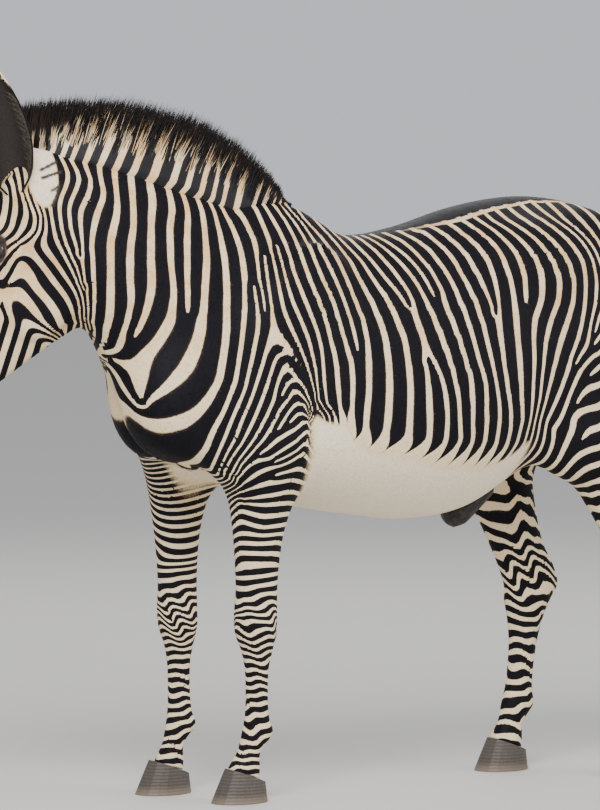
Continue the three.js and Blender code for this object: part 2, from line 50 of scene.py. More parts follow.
viewFrame = {"width": 600, "height": 810, "sensor": 36.0}
viewpoint = {"azimuth": -30, "elevation": 3.5, "distance": 16.0, "pixelsPerMetre": 388.0, "height": 1.0,
             "aside": 0.005}


def sightline():
    azimuth, elevation = math.radians(viewpoint["azimuth"]), math.radians(viewpoint["elevation"])
    away = Vector((math.sin(azimuth) * math.cos(elevation), -math.cos(azimuth) * math.cos(elevation),
                   math.sin(elevation)))
    target = Vector((viewpoint["aside"], 0, viewpoint["height"])) - Vector(bodyMiddle) / 1000
    return target, away


def makeCamera():
    target, away = sightline()
    data = bpy.data.cameras.new("camera")
    data.sensor_width = viewFrame["sensor"]
    data.lens = viewpoint["pixelsPerMetre"] * viewpoint["distance"] * data.sensor_width / viewFrame["height"]
    data.clip_end = 200
    camera = bpy.data.objects.new("camera", data)
    camera.location = target + away * viewpoint["distance"]
    camera.rotation_euler = away.to_track_quat("Z", "Y").to_euler()
    scene.collection.objects.link(camera)
    scene.camera = camera


makeCamera()
print("camera made")

lengthwise = ((1.0, 0.0), (0.0, 1.0))
upright = ((0.0, 1.0), (1.0, 0.0))


def forwardAndUp(degrees):
    a = math.radians(degrees)
    return (-math.cos(a), math.sin(a)), (math.sin(a), math.cos(a))


def inAxes(axes, origin, p):  # how far places are along an axis and up from it, in the mid plane
    (ax, az), (ux, uz) = axes
    dx, dz = p[:, 0] - origin[0], p[:, 2] - origin[1]
    return dx * ax + dz * az, dx * ux + dz * uz


def fromAxes(axes, origin, along, up):
    (ax, az), (ux, uz) = axes
    return origin[0] + along * ax + up * ux, origin[1] + along * az + up * uz


# A row is: distance along the axis, lower edge, upper edge, half width, narrowing of the upper edge,
# sideways shift.
def loft(axes, origin, caps, rows, y=0.0):
    rows = np.array(sorted([*row, *([0] * (6 - len(row)))] for row in rows), float)
    slopes = np.empty_like(rows)
    for i in range(len(rows)):
        a, b = max(i - 1, 0), min(i + 1, len(rows) - 1)
        slopes[i] = (rows[b] - rows[a]) / (rows[b, 0] - rows[a, 0])
    return {"axes": axes, "origin": origin, "caps": caps, "rows": rows, "slopes": slopes, "y": y}


def rowAt(form, s):
    rows, slopes = form["rows"], form["slopes"]
    i = np.clip(np.searchsorted(rows[:, 0], s, side="right") - 1, 0, len(rows) - 2)
    h = (rows[i + 1, 0] - rows[i, 0])[:, None]
    t = (s - rows[i, 0])[:, None] / h
    return (
        (2 * t**3 - 3 * t**2 + 1) * rows[i] + (t**3 - 2 * t**2 + t) * h * slopes[i]
        + (3 * t**2 - 2 * t**3) * rows[i + 1] + (t**3 - t**2) * h * slopes[i + 1]
    )


def loftDistance(form, p):
    along, up = inAxes(form["axes"], form["origin"], p)
    s = np.clip(along, form["rows"][0, 0], form["rows"][-1, 0])
    _, low, high, side, taper, shift = rowAt(form, s).T
    half = (high - low) / 2
    u = (up - (low + high) / 2) / half
    width = side * (1 - taper * np.clip(u, -1, 1))
    v = (p[:, 1] - form["y"] - shift) / width
    cap = np.where(along < form["rows"][0, 0], form["caps"][0], form["caps"][1])
    e = (along - s) / cap
    n = np.sqrt(u * u + v * v + e * e) + 1e-6
    return (n - 1) * n / (np.sqrt((u / half) ** 2 + (v / width) ** 2 + (e / cap) ** 2) + 1e-9)


def massDistance(mass, p):
    a = math.radians(mass.get("pitch", 0))
    x, y, z = mass["at"]
    i, j, k = mass["size"]
    dx, dz = p[:, 0] - x, p[:, 2] - z
    f = (dx * math.cos(a) + dz * math.sin(a)) / i
    h = (dz * math.cos(a) - dx * math.sin(a)) / k
    g = (np.abs(p[:, 1]) - y) / j
    n = np.sqrt(f * f + g * g + h * h) + 1e-6
    return (n - 1) * n / (np.sqrt((f / i) ** 2 + (g / j) ** 2 + (h / k) ** 2) + 1e-9)


def join(a, b, blend):
    h = np.maximum(blend - np.abs(a - b), 0) / blend
    return np.minimum(a, b) - h * h * blend / 4


def smoothStep(a, b, x):
    t = np.clip((x - a) / (b - a), 0, 1)
    return t * t * (3 - 2 * t)


def cut(a, b, blend):
    return -join(-a, b, blend)


trunk = loft(lengthwise, (0, 0), (150, 110), [
    (-290, 845, 1350, 178, 0.1), (-160, 778, 1470, 204, 0.3), (-60, 746, 1510, 228, 0.45),
    (30, 728, 1480, 248, 0.4), (130, 712, 1440, 268, 0.2), (290, 692, 1458, 290, 0.05),
    (460, 712, 1505, 288, 0.02), (600, 788, 1529, 268, 0.1), (720, 862, 1529, 246, 0.2),
    (820, 930, 1500, 220, 0.3), (930, 1030, 1425, 160, 0.4),
])
neck = loft(forwardAndUp(28), (-150, 1250), (80, 50), [
    (0, -400, 262, 150, 0.4), (120, -392, 244, 142, 0.45), (280, -315, 208, 124, 0.48),
    (380, -248, 188, 112, 0.45), (480, -205, 172, 102, 0.4), (600, -165, 142, 90, 0.3),
    (690, -110, 100, 70, 0.2),
])
headAxes, headOrigin = forwardAndUp(-57), (-712, 1500)
skull = loft(headAxes, headOrigin, (50, 36), [
    (-90, 0, 118, 66, 0), (0, -50, 130, 84, -0.05), (80, -70, 128, 92, -0.08), (150, -70, 118, 90, -0.05),
    (230, -60, 104, 74, 0.15), (330, -50, 92, 58, 0.25), (430, -48, 86, 49, 0.2), (500, -58, 88, 55, 0),
    (548, -62, 78, 52, 0),
])
jaw = loft(headAxes, headOrigin, (50, 24), [
    (115, -200, -10, 44, -0.2), (180, -234, 0, 50, -0.2), (262, -205, 0, 48, -0.2), (335, -176, 0, 42, -0.15),
    (430, -140, 0, 37, -0.1), (510, -108, 0, 42, 0), (552, -94, -10, 40, 0),
])
foreRows = [
    (905, -115, 150, 84, 14), (800, -90, 112, 72, 6), (700, -72, 76, 59, 0), (620, -63, 63, 52, -4),
    (540, -59, 58, 49, -7), (475, -62, 58, 53, -9), (430, -58, 57, 51, -10), (385, -41, 47, 39, -11),
    (340, -32, 38, 30, -12), (260, -30, 37, 27, -13), (210, -33, 42, 29, -14), (175, -39, 51, 35, -15),
    (128, -52, 16, 31, -16), (85, -78, 14, 38, -17), (45, -88, 10, 40, -17),
]
hindRows = [
    (900, -150, 150, 84, 8), (850, -140, 138, 80, 6), (760, -112, 106, 70, 2), (676, -92, 88, 61, -3),
    (600, -80, 82, 55, -6), (540, -74, 94, 51, -8), (490, -74, 90, 50, -9), (450, -68, 72, 48, -10),
    (405, -54, 56, 42, -11), (345, -42, 46, 35, -12), (275, -37, 43, 31, -13), (215, -38, 46, 32, -14),
    (172, -44, 54, 37, -15), (125, -56, 22, 32, -16), (85, -80, 18, 39, -17), (45, -90, 14, 42, -17),
]
stance = {
    "leftFore": -204.0, "rightFore": -282.0, "foreSpread": 148.0, "hindSpread": 150.0,
    "leftHind": (828.0, 1000.0, 980.0), "rightHind": (668.0, 788.0, 745.0),  # stifle, hock and fetlock
    "stifleZ": 850.0, "hockZ": 490.0, "fetlockZ": 172.0,
}


def bentLine(line, z):  # a hind leg's line through its stifle, hock and fetlock
    return np.interp(z, [stance["fetlockZ"], stance["hockZ"], stance["stifleZ"]], line[::-1])


def hindLine(line, z):
    slope = (line[0] - line[1]) / (stance["stifleZ"] - stance["hockZ"])
    return bentLine(line, z) + max(z - stance["stifleZ"], 0) * slope


def legForm(x, side, rows, spread):
    sided = [(z, x(z) + front, x(z) + rear, width, 0, side * out) for z, front, rear, width, out in rows]
    return loft(upright, (0, 0), (30, 60), sided, side * spread)


legs = {
    "leftFore": legForm(lambda z: stance["leftFore"], -1, foreRows, stance["foreSpread"]),
    "rightFore": legForm(lambda z: stance["rightFore"], 1, foreRows, stance["foreSpread"]),
    "leftHind": legForm(lambda z: hindLine(stance["leftHind"], z), -1, hindRows, stance["hindSpread"]),
    "rightHind": legForm(lambda z: hindLine(stance["rightHind"], z), 1, hindRows, stance["hindSpread"]),
}
tail = loft(upright, (0, 0), (25, 60), [
    (880, 1104, 1136, 15), (1000, 1098, 1138, 19), (1120, 1086, 1138, 24), (1230, 1054, 1122, 32),
    (1320, 1000, 1092, 40),
])
bodyMasses = [
    {"at": (-110, 165, 1210), "size": (125, 62, 235), "pitch": -28, "blend": 90},  # shoulder blade
    {"at": (-384, 134, 1002), "size": (112, 82, 125), "pitch": 20, "blend": 80},  # point of the shoulder
    {"at": (-200, 168, 930), "size": (150, 74, 135), "pitch": 25, "blend": 80},  # upper arm
    {"at": (-428, 70, 1000), "size": (84, 62, 120), "pitch": 15, "blend": 60},  # breast
    {"at": (640, 165, 1355), "size": (120, 78, 85), "pitch": -10, "blend": 110},  # hip
    {"at": (800, 85, 1350), "size": (180, 100, 130), "pitch": 14, "blend": 100},  # croup
    {"at": (842, 150, 1080), "size": (172, 88, 235), "pitch": -12, "blend": 100},  # thigh
    {"at": (962, 84, 1140), "size": (92, 74, 170), "pitch": 8, "blend": 90},  # buttock
    {"at": (712, 168, 905), "size": (98, 66, 120), "pitch": 30, "blend": 80},  # stifle
]
# Places on the head are: along it from the poll, up from its axis, sideways.
headMasses = [
    {"at": (185, -115, 40), "size": (100, 88, 34), "blend": 30},  # cheek
    {"at": (116, 66, 74), "size": (50, 28, 30), "blend": 24},  # brow
    {"at": (30, 64, 60), "size": (60, 44, 30), "blend": 24},  # temple
    {"at": (146, 26, 74), "size": (44, 24, 20), "blend": 22},  # below the eye
    {"at": (515, 42, 36), "size": (44, 34, 26), "blend": 20},  # nostril rim
    {"at": (560, 8, 24), "size": (30, 50, 30), "blend": 24},  # upper lip
    {"at": (535, -92, 14), "size": (36, 20, 30), "blend": 20},  # chin
]
nostrilHole = {"at": (535, 52, 50), "size": (24, 11, 17)}
eye = {"at": (133, 46, 80), "radius": 23.0}


def headPoint(place):
    x, z = fromAxes(headAxes, headOrigin, place[0], place[1])
    return (x, place[2], z)


def headMass(mass):
    a, u, s = mass["size"]
    pitch = math.degrees(math.atan2(headAxes[0][1], headAxes[0][0]))
    return {**mass, "at": headPoint(mass["at"]), "size": (a, s, u), "pitch": pitch}


headMasses = [headMass(mass) for mass in headMasses]
nostrilHole = headMass(nostrilHole)
earMound = headMass({"at": (-14, 84, 66), "size": (44, 40, 36)})


def headFrame(p):  # along, up and sideways from the mid plane, for both sides alike
    return np.stack([*inAxes(headAxes, headOrigin, p), np.abs(p[:, 1])], 1)


def headField(p):
    d = join(loftDistance(skull, p), loftDistance(jaw, p), 40)
    for mass in headMasses:
        d = join(d, massDistance(mass, p), mass["blend"])
    return cut(d, massDistance(nostrilHole, p), 8)


def bodyField(p):
    d = loftDistance(trunk, p)
    for mass in bodyMasses:
        d = join(d, massDistance(mass, p), mass["blend"])
    d = join(d, loftDistance(neck, p), 100)
    ahead = p[:, 0] < -450
    if ahead.any():
        d[ahead] = join(d[ahead], headField(p[ahead]), 45)
    low = p[:, 2] < 1100
    if low.any():
        q, e = p[low], d[low]
        for leg in legs.values():
            e = join(e, loftDistance(leg, q), 55)
        d[low] = e
    behind = p[:, 0] > 880
    if behind.any():
        d[behind] = join(d[behind], loftDistance(tail, p[behind]), 25)
    return d


turnRadius = neckTurn["length"] / neckTurn["angle"]


def turned(p):
    ahead = np.maximum(neckTurn["start"] - p[:, 0], 0)
    turn = np.minimum(ahead, neckTurn["length"]) / turnRadius
    straight = np.maximum(ahead - neckTurn["length"], 0)
    x = neckTurn["start"] - np.sin(turn) * (turnRadius - p[:, 1]) - straight * np.cos(turn)
    y = turnRadius - np.cos(turn) * (turnRadius - p[:, 1]) + straight * np.sin(turn)
    return np.where(ahead[:, None] > 0, np.stack([x, y, p[:, 2]], 1), p)


def straightened(p):
    dx, dy = neckTurn["start"] - p[:, 0], turnRadius - p[:, 1]
    turn = np.arctan2(dx, dy)
    full = neckTurn["angle"]
    endX = neckTurn["start"] - math.sin(full) * turnRadius
    endY = turnRadius - math.cos(full) * turnRadius
    ex, ey = p[:, 0] - endX, p[:, 1] - endY
    beyond = -ex * math.cos(full) + ey * math.sin(full)
    x = np.where(turn <= full, neckTurn["start"] - turn * turnRadius,
                 neckTurn["start"] - neckTurn["length"] - beyond)
    y = np.where(turn <= full, turnRadius - np.hypot(dx, dy), ex * math.sin(full) + ey * math.cos(full))
    return np.where(p[:, :1] < neckTurn["start"], np.stack([x, y, p[:, 2]], 1), p)


def toScene(p):
    return (turned(p) - bodyMiddle) / 1000


def toBody(p):
    return straightened(np.asarray(p, float) * 1000 + bodyMiddle)


fleshNodes = [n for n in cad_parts
              if not any(w in n for w in ("hoof", "mane", "tuft", "ear_", "sheath"))]
skinMesh = {"grid": 0.0125, "swell": 0.0012, "relax": 2}


def vertexArray(mesh):
    co = np.empty(len(mesh.vertices) * 3)
    mesh.vertices.foreach_get("co", co)
    return co.reshape(-1, 3)


def newObject(name, mesh):
    made = bpy.data.objects.new(name, mesh)
    scene.collection.objects.link(made)
    return made


def meshFrom(bm, name):
    mesh = bpy.data.meshes.new(name)
    bm.to_mesh(mesh)
    bm.free()
    return mesh


def moveTo(bm, places):
    for v, place in zip(bm.verts, places):
        v.co = place


def relax(bm, verts, rounds=1):
    for _ in range(rounds):
        bmesh.ops.smooth_vert(bm, verts=verts, factor=0.5, use_axis_x=True, use_axis_y=True, use_axis_z=True)


def smoothShaded(mesh):
    mesh.polygons.foreach_set("use_smooth", np.ones(len(mesh.polygons), bool))


def paint(mesh, **layers):  # three or four values at each point
    for name, values in layers.items():
        kind, field = ("FLOAT_COLOR", "color") if values.shape[1] == 4 else ("FLOAT_VECTOR", "vector")
        mesh.attributes.new(name, kind, "POINT").data.foreach_set(field, values.ravel())


def finished(obj):  # the mesh with its modifiers applied
    graph = bpy.context.evaluated_depsgraph_get()
    mesh = bpy.data.meshes.new_from_object(obj.evaluated_get(graph))
    obj.modifiers.clear()
    obj.data = mesh
    return obj


def joinedFlesh():
    bm = bmesh.new()
    for name in fleshNodes:
        part = bmesh.new()
        part.from_mesh(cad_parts[name].data)
        bmesh.ops.remove_doubles(part, verts=part.verts, dist=1e-6)
        part.normal_update()
        for v in part.verts:
            v.co += v.normal * skinMesh["swell"]  # closes the thin gaps between the pieces
        mesh = meshFrom(part, name)
        bm.from_mesh(mesh)
        bpy.data.meshes.remove(mesh)
    return meshFrom(bm, "skin")


def gradient(field, p, d):
    step = 0.5
    g = np.empty_like(p)
    for k in range(3):
        q = p.copy()
        q[:, k] += step
        g[:, k] = (field(q) - d) / step
    return g


def settle(field, p, rounds=4, most=8.0):  # moves points straight onto the field's zero
    for _ in range(rounds):
        d = field(p)
        g = gradient(field, p, d)
        move = d[:, None] * g / np.maximum((g * g).sum(1), 0.05)[:, None]
        length = np.linalg.norm(move, axis=1)
        p = p - move * np.minimum(1, most / np.maximum(length, 1e-9))[:, None]
    return p


# along and up the head
mouth = {"line": ((455, -80), (520, -66), (570, -56), (640, -46)), "depth": 7.0, "breadth": 3.6}
socket = {"radius": 25.5, "blend": 7}


def skinField(p):  # the body's form less its coat, with the ears' roots, the eyes' sockets and the mouth
    face = np.clip((-620 - p[:, 0]) / 120, 0, 1)
    d = bodyField(p) + coatDepth["body"] * (1 - face) + coatDepth["face"] * face
    ahead = p[:, 0] < -560
    if ahead.any():
        q = p[ahead]
        h = headFrame(q)
        e = join(d[ahead], massDistance(earMound, q), 22)
        e = cut(e, np.linalg.norm(h - eye["at"], axis=1) - socket["radius"], socket["blend"])
        above = h[:, 1] - np.interp(h[:, 0], *zip(*mouth["line"]))
        groove = np.exp(-(above / mouth["breadth"]) ** 2) * smoothStep(452, 476, h[:, 0])
        d[ahead] = e + mouth["depth"] * groove
    return d


def finer(bm, chosen):
    edges = [e for e in bm.edges if all(chosen[v.index] for v in e.verts)]
    bmesh.ops.subdivide_edges(bm, edges=edges, cuts=1, use_grid_fill=True)
    bm.verts.ensure_lookup_table()
    bm.verts.index_update()


# where the neck's and the back's forms are evened out
withers = {"at": (-60, 1400), "reach": 130, "rounds": 14}


def makeSkin():
    skin = newObject("skin", joinedFlesh())
    remesh = skin.modifiers.new("one surface", "REMESH")
    remesh.mode, remesh.voxel_size = "VOXEL", skinMesh["grid"]
    finished(skin)
    bm = bmesh.new()
    bm.from_mesh(skin.data)

    def place():
        return toBody([v.co for v in bm.verts])

    p = place()
    h = headFrame(p)
    finer(bm, (p[:, 0] < -600) & (h[:, 0] > -160))
    h = headFrame(place())
    nearEye = np.linalg.norm((h - eye["at"]) / (1, 1, 1.2), axis=1) < 48
    nearNose = (h[:, 0] > 470) & (h[:, 1] > -90)
    finer(bm, nearEye | nearNose)
    for _ in range(skinMesh["relax"]):
        moveTo(bm, toScene(settle(skinField, place())))
        relax(bm, bm.verts)
    p = settle(skinField, place())
    moveTo(bm, toScene(p))
    (x, z), reach = withers["at"], withers["reach"]
    relax(bm, [v for v, q in zip(bm.verts, p) if np.hypot(q[0] - x, q[2] - z) < reach], withers["rounds"])
    bm.normal_update()
    skin.data = meshFrom(bm, "skin")
    smoothShaded(skin.data)
    return skin


skin = makeSkin()
print("skin made,", len(skin.data.polygons), "faces")
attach(skin, "root")
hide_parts(*[n for n in fleshNodes if n not in ("eye_left", "eye_right")])

# White stripes along the near side. Each is: its number, its free ends, and where it runs in the camera's
# view, as x and y in pixels of a view 600 wide. A number that is skipped belongs to a stripe that has ended.
whiteStripes = [
    (1, "", (57, 150, 68, 170, 68, 180, 65, 190, 60, 200, 60, 215, 62, 230, 66, 245, 72, 258, 77, 268)),
    (2, "last", (68, 150, 70, 160, 77, 170, 79, 180, 76, 190, 71, 200, 69, 210, 71, 230, 75, 240, 80,
     257)),
    (3, "last", (86, 150, 83, 160, 87, 170, 91, 180, 90, 190, 86, 200, 81, 210, 80, 220, 82, 240, 82,
     260, 85, 290)),
    (4, "last", (102, 150, 99, 160, 100, 180, 104, 190, 103, 200, 98, 210, 93, 230, 91, 245, 93, 265,
     94, 290, 93, 315, 90, 330)),
    (5, "last", (116, 150, 114, 165, 116, 190, 118, 210, 111, 240, 111, 260, 111, 300, 110, 320, 106,
     330, 103, 349)),
    (6, "last", (133, 160, 130, 170, 132, 190, 134, 225, 130, 250, 130, 280, 132, 300, 128, 320, 121,
     340, 114, 358)),
    (7, "last", (155, 150, 148, 170, 149, 180, 153, 200, 151, 220, 151, 260, 152, 280, 149, 300, 143,
     320, 134, 337)),
    (8, "", (175, 150, 167, 170, 165, 180, 169, 190, 173, 210, 170, 225, 171, 260, 175, 295, 171, 320,
     159, 340, 141, 360, 135, 380, 143, 400)),
    (9, "last", (191, 150, 181, 170, 179, 180, 181, 190, 188, 208, 187, 240, 187, 280, 188, 313)),
    (10, "", (205, 150, 197, 170, 193, 187, 202, 210, 205, 230, 207, 260, 204, 300, 201, 330, 195, 350,
     184, 370, 168, 386, 148, 400)),
    (11, "", (203, 190, 214, 210, 219, 230, 225, 260, 227, 290, 227, 330, 225, 350, 220, 380, 209, 400,
     198, 413, 185, 421, 160, 426, 140, 418, 115, 397, 107, 370)),
    (12, "", (213, 190, 223, 210, 234, 230, 241, 250, 245, 280, 245, 310, 242, 340, 236, 380, 225, 410,
     214, 430, 206, 450, 190, 468)),
    (13, "first", (254, 284, 258, 310, 258, 330, 252, 360, 245, 390, 236, 410, 224, 440, 211, 470)),
    (14, "last", (226, 190, 236, 210, 245, 220, 254, 240, 258, 260, 260, 280, 264, 300, 265, 312)),
    (15, "first", (264, 254, 268, 285, 274, 325, 267, 350, 261, 370, 251, 400, 242, 420, 235, 440, 228,
     452, 218, 475)),
    (15, "", (277, 333, 283, 340, 291, 350, 298, 360, 303, 370, 307, 380, 311, 390, 314, 400, 315, 430)),
    (16, "", (241, 190, 257, 210, 265, 230, 272, 250, 278, 280, 284, 310, 292, 330, 301, 350, 308, 370,
     314, 390, 317, 410)),
    (17, "first", (276, 245, 281, 260, 286, 280, 292, 300, 301, 320, 309, 340, 316, 370, 318, 400)),
    (18, "", (253, 190, 268, 212, 279, 230, 288, 250, 293, 270, 301, 290, 309, 310, 317, 330, 322, 350,
     324, 380, 327, 405)),
    (19, "", (271, 201, 285, 220, 296, 240, 303, 260, 310, 280, 319, 300, 326, 320, 332, 345, 337, 365,
     339, 390, 340, 412)),
    (20, "", (279, 204, 293, 220, 306, 240, 315, 260, 323, 280, 333, 300, 339, 320, 345, 340, 351, 360,
     353, 385, 352, 420)),
    (21, "last", (284, 205, 300, 220, 314, 240, 326, 260, 336, 280, 344, 300, 351, 320, 356, 340, 358,
     351)),
    (22, "", (302, 217, 324, 240, 338, 260, 347, 280, 355, 300, 363, 320, 367, 340, 369, 365, 369, 390,
     366, 420, 365, 445)),
    (23, "", (314, 219, 334, 240, 350, 260, 360, 280, 371, 300, 380, 320, 386, 340, 389, 365, 390, 390,
     388, 420, 384, 440)),
    (24, "", (322, 222, 341, 240, 361, 260, 374, 280, 388, 300, 397, 320, 405, 340, 409, 365, 411, 390,
     410, 420, 408, 442)),
    (26, "", (331, 225, 351, 240, 371, 260, 387, 280, 397, 291, 404, 301, 408, 308)),
    (26, "", (348, 232, 362, 240, 375, 250, 384, 260, 393, 270, 400, 280, 407, 290, 412, 300, 417, 320,
     424, 340, 427, 365, 429, 390, 430, 420, 429, 442)),
    (27, "", (412, 300, 417, 320, 424, 340, 430, 356, 436, 365, 443, 380, 447, 400, 448, 420, 446, 442)),
    (28, "", (363, 236, 373, 240, 387, 250, 398, 260, 407, 270, 415, 280, 421, 290, 426, 300, 435, 320,
     443, 340, 450, 360, 455, 380, 459, 400, 461, 440)),
    (29, "last", (372, 235, 384, 240, 399, 250, 411, 260, 419, 270, 426, 280, 431, 290, 435, 297)),
    (30, "", (387, 234, 401, 240, 413, 250, 422, 260, 431, 270, 436, 280, 442, 290, 444, 300, 452, 320,
     460, 340, 466, 360, 472, 380, 473, 410, 473, 440)),
    (31, "", (401, 232, 416, 240, 430, 250, 437, 260, 445, 270, 451, 280, 460, 300, 468, 320, 474, 340,
     479, 360, 486, 380, 487, 400, 487, 420, 485, 442)),
    (32, "", (415, 231, 424, 231, 434, 240, 446, 250, 454, 260, 459, 270, 465, 280, 475, 300, 482, 320,
     487, 340, 492, 360, 497, 385, 500, 405, 500, 420, 497, 442)),
    (33, "", (428, 226, 438, 230, 452, 240, 462, 250, 470, 260, 475, 270, 481, 280, 490, 300, 496, 315)),
    (34, "", (450, 224, 458, 230, 471, 240, 481, 250, 488, 260, 495, 280, 498, 300, 499, 320, 501, 340,
     504, 362, 508, 390, 511, 410, 511, 430, 506, 448)),
    (35, "", (465, 222, 478, 230, 490, 240, 499, 250, 504, 260, 511, 280, 515, 300, 517, 330, 520, 360,
     522, 400, 523, 420, 517, 443)),
    (36, "last", (479, 220, 494, 230, 505, 240, 514, 250, 520, 260, 525, 280, 526, 305)),
    (37, "", (492, 220, 509, 230, 521, 240, 530, 250, 537, 260, 542, 275, 542, 300, 535, 320, 534, 340,
     535, 360, 534, 380, 533, 400, 531, 420, 525, 442)),
    (38, "", (508, 220, 524, 230, 537, 240, 545, 250, 553, 260, 560, 280, 559, 300, 551, 320, 546, 340,
     544, 360, 542, 380, 540, 400, 535, 422)),
    (39, "", (525, 220, 540, 230, 552, 240, 561, 250, 569, 262, 574, 280, 574, 300, 568, 320, 561, 340,
     556, 360, 551, 380, 546, 400, 540, 422)),
    (40, "", (543, 220, 557, 230, 568, 240, 576, 250, 583, 261, 586, 280, 585, 305, 582, 325, 578, 340,
     571, 360, 565, 380, 557, 400, 547, 421)),
    (41, "last", (554, 219, 570, 230, 581, 240, 588, 250, 593, 260, 597, 280, 596, 302, 591, 325, 587,
     345, 575, 364)),
    (42, "", (564, 219, 578, 230, 588, 240, 595, 250, 599, 260)),
    (42, "last", (599, 317, 595, 333)),
    (43, "last", (600, 336, 594, 344)),
    (44, "", (600, 353, 593, 357, 586, 364, 580, 371, 576, 380, 568, 400, 561, 420, 553, 429)),
    (45, "last", (600, 366, 595, 369, 590, 376)),
    (46, "last", (600, 385, 593, 386, 586, 389, 580, 398, 578, 404)),
    (47, "", (600, 407, 591, 408, 583, 410, 576, 414, 572, 419, 574, 428, 566, 443, 560, 457)),
    (48, "last", (600, 428, 591, 429, 586, 432, 582, 440)),
    (49, "", (600, 448, 591, 449, 583, 453, 577, 457, 571, 463, 566, 469)),
    (50, "", (600, 464, 591, 466, 583, 470, 576, 476)),
    (51, "", (600, 481, 591, 484, 583, 489)),
    (16, "first", (283, 350, 276, 358, 269, 380, 262, 400, 254, 420, 244, 440, 230, 460, 224, 470)),
    (17, "", (306, 389, 300, 381, 295, 375, 290, 368, 286, 363, 281, 374, 277, 386, 274, 400, 265, 420,
     254, 440, 239, 460, 230, 479)),
    (18, "both", (292, 378, 287, 386, 281, 398)),
    (19, "", (311, 414, 309, 406, 305, 399, 300, 393, 295, 388, 288, 400, 280, 410, 276, 420, 263, 440,
     254, 450, 241, 465)),
    (20, "last", (305, 405, 300, 402, 295, 405, 290, 411, 284, 420, 277, 430)),
    (21, "last", (311, 424, 308, 417, 304, 412, 297, 415, 289, 423)),
    (22, "last", (309, 422, 303, 425, 295, 430, 285, 435, 276, 441, 268, 448, 260, 455)),
    (23, "", (310, 431, 303, 436, 297, 441, 283, 450, 270, 459, 259, 460, 250, 465, 243, 472, 237, 478)),
    (24, "last", (308, 439, 299, 450, 290, 455, 282, 459, 275, 462)),
    (25, "", (304, 452, 290, 462, 280, 466, 270, 468, 262, 471, 254, 476, 241, 486)),
    (26, "last", (291, 471, 283, 473, 275, 476)),
    (27, "", (289, 480, 280, 482, 270, 483, 262, 485, 240, 492)),
    (28, "", (289, 492, 280, 494, 270, 496, 262, 497, 245, 500)),
    (29, "", (289, 503, 262, 505, 240, 502)),
    (30, "", (289, 514, 262, 517, 240, 511)),
    (31, "", (287, 525, 262, 528, 240, 521)),
    (33, "", (285, 541, 262, 544, 240, 543)),
    (34, "", (282, 554, 262, 554, 240, 553)),
    (35, "", (280, 564, 262, 564, 240, 564)),
]
# Where a black stripe ends between two white ones that meet, and the way back into it.
blackEnds = [((409, 306), (399, 285)), ((428, 357), (434, 372)), ((496, 315), (490, 290))]


def seenOnSkin(pixels, tree):  # body places under points of the camera's view
    target, away = sightline()
    right = Vector((0, 0, 1)).cross(away).normalized()
    up = away.cross(right)
    eyePoint = target + away * viewpoint["distance"]
    found = []
    for x, y in pixels:
        across, down = (x - 300) / viewpoint["pixelsPerMetre"], (y - 405) / viewpoint["pixelsPerMetre"]
        hit = tree.ray_cast(eyePoint, (target + right * across - up * down - eyePoint).normalized())[0]
        found.append(tuple(hit) if hit else (np.nan,) * 3)
    p = toBody(found)
    p[:, 1] = np.abs(p[:, 1])
    return p


def alongLine(points, spacing):
    points = np.array(points, float).reshape(-1, 2)
    reach = np.concatenate([[0], np.cumsum(np.linalg.norm(np.diff(points, axis=0), axis=1))])
    s = np.linspace(0, reach[-1], max(2, int(reach[-1] / spacing) + 1))
    return np.stack([np.interp(s, reach, points[:, k]) for k in (0, 1)], 1)


def windings(p, ends):  # each free end is a place that the stripes' count turns around
    turns = np.empty((len(ends), len(p)))
    for i, (x, z, ex, ez, sign) in enumerate(ends):
        dx, dz = p[:, 0] - x, p[:, 2] - z
        turns[i] = sign * np.arctan2(ex * dz - ez * dx, ex * dx + ez * dz)
    return turns / (2 * math.pi)


def stripeEnds(lines, tree):  # place, the way to the side where the count is whole, and which way it turns
    ends = []

    def addEnd(at, inward, sign):
        way = (inward - at)[[0, 2]]
        ends.append((at[0], at[2], *(way / np.linalg.norm(way)), sign))

    for _, free, q in lines:
        if free in ("first", "both"):
            chevron = -260 < q[0, 0] < -100 and q[0, 2] < 1200
            addEnd(q[0], q[0] + (-1, 0, 1) if chevron else q[min(2, len(q) - 1)], 1.0)
        if free in ("last", "both"):
            addEnd(q[-1], q[max(-3, -len(q))], -1.0)
    for at, back in blackEnds:
        addEnd(*seenOnSkin([at, back], tree), -1.0 if back[1] < at[1] else 1.0)
    return ends


# a smooth field through every line's number, without the ends' turns
def fitCount(lines, ends, smoothing=2.0):
    places, values = [], []
    for number, _, q in lines:
        for x, z, *_ in ends:
            q = q[np.hypot(q[:, 0] - x, q[:, 2] - z) > 9]
        turns = windings(q, ends)
        for i in range(len(ends)):
            near = int(np.argmin(np.abs(turns[i])))  # the line's place that is surest about this end
            whole = np.unwrap(turns[i], period=1.0)
            turns[i] = whole + turns[i][near] - whole[near]
        places.append(q)
        values.append(number - turns.sum(0))
    p, v = np.concatenate(places) / 100, np.concatenate(values)
    n = len(p)
    away = np.linalg.norm(p[:, None] - p[None], axis=2)
    line = np.concatenate([np.ones((n, 1)), p], 1)
    full = np.block([[-away + np.eye(n) * smoothing / 100, line], [line.T, np.zeros((4, 4))]])
    w = np.linalg.solve(full, np.concatenate([v, np.zeros(4)]))

    def field(q):
        q = q / 100
        out = np.empty(len(q))
        for i in range(0, len(q), 4000):
            part = q[i:i + 4000]
            far = np.sqrt(np.maximum((part**2).sum(1)[:, None] + (p**2).sum(1)[None] - 2 * part @ p.T, 0))
            out[i:i + 4000] = -far @ w[:n] + w[n] + part @ w[n + 1:]
        return out

    return field


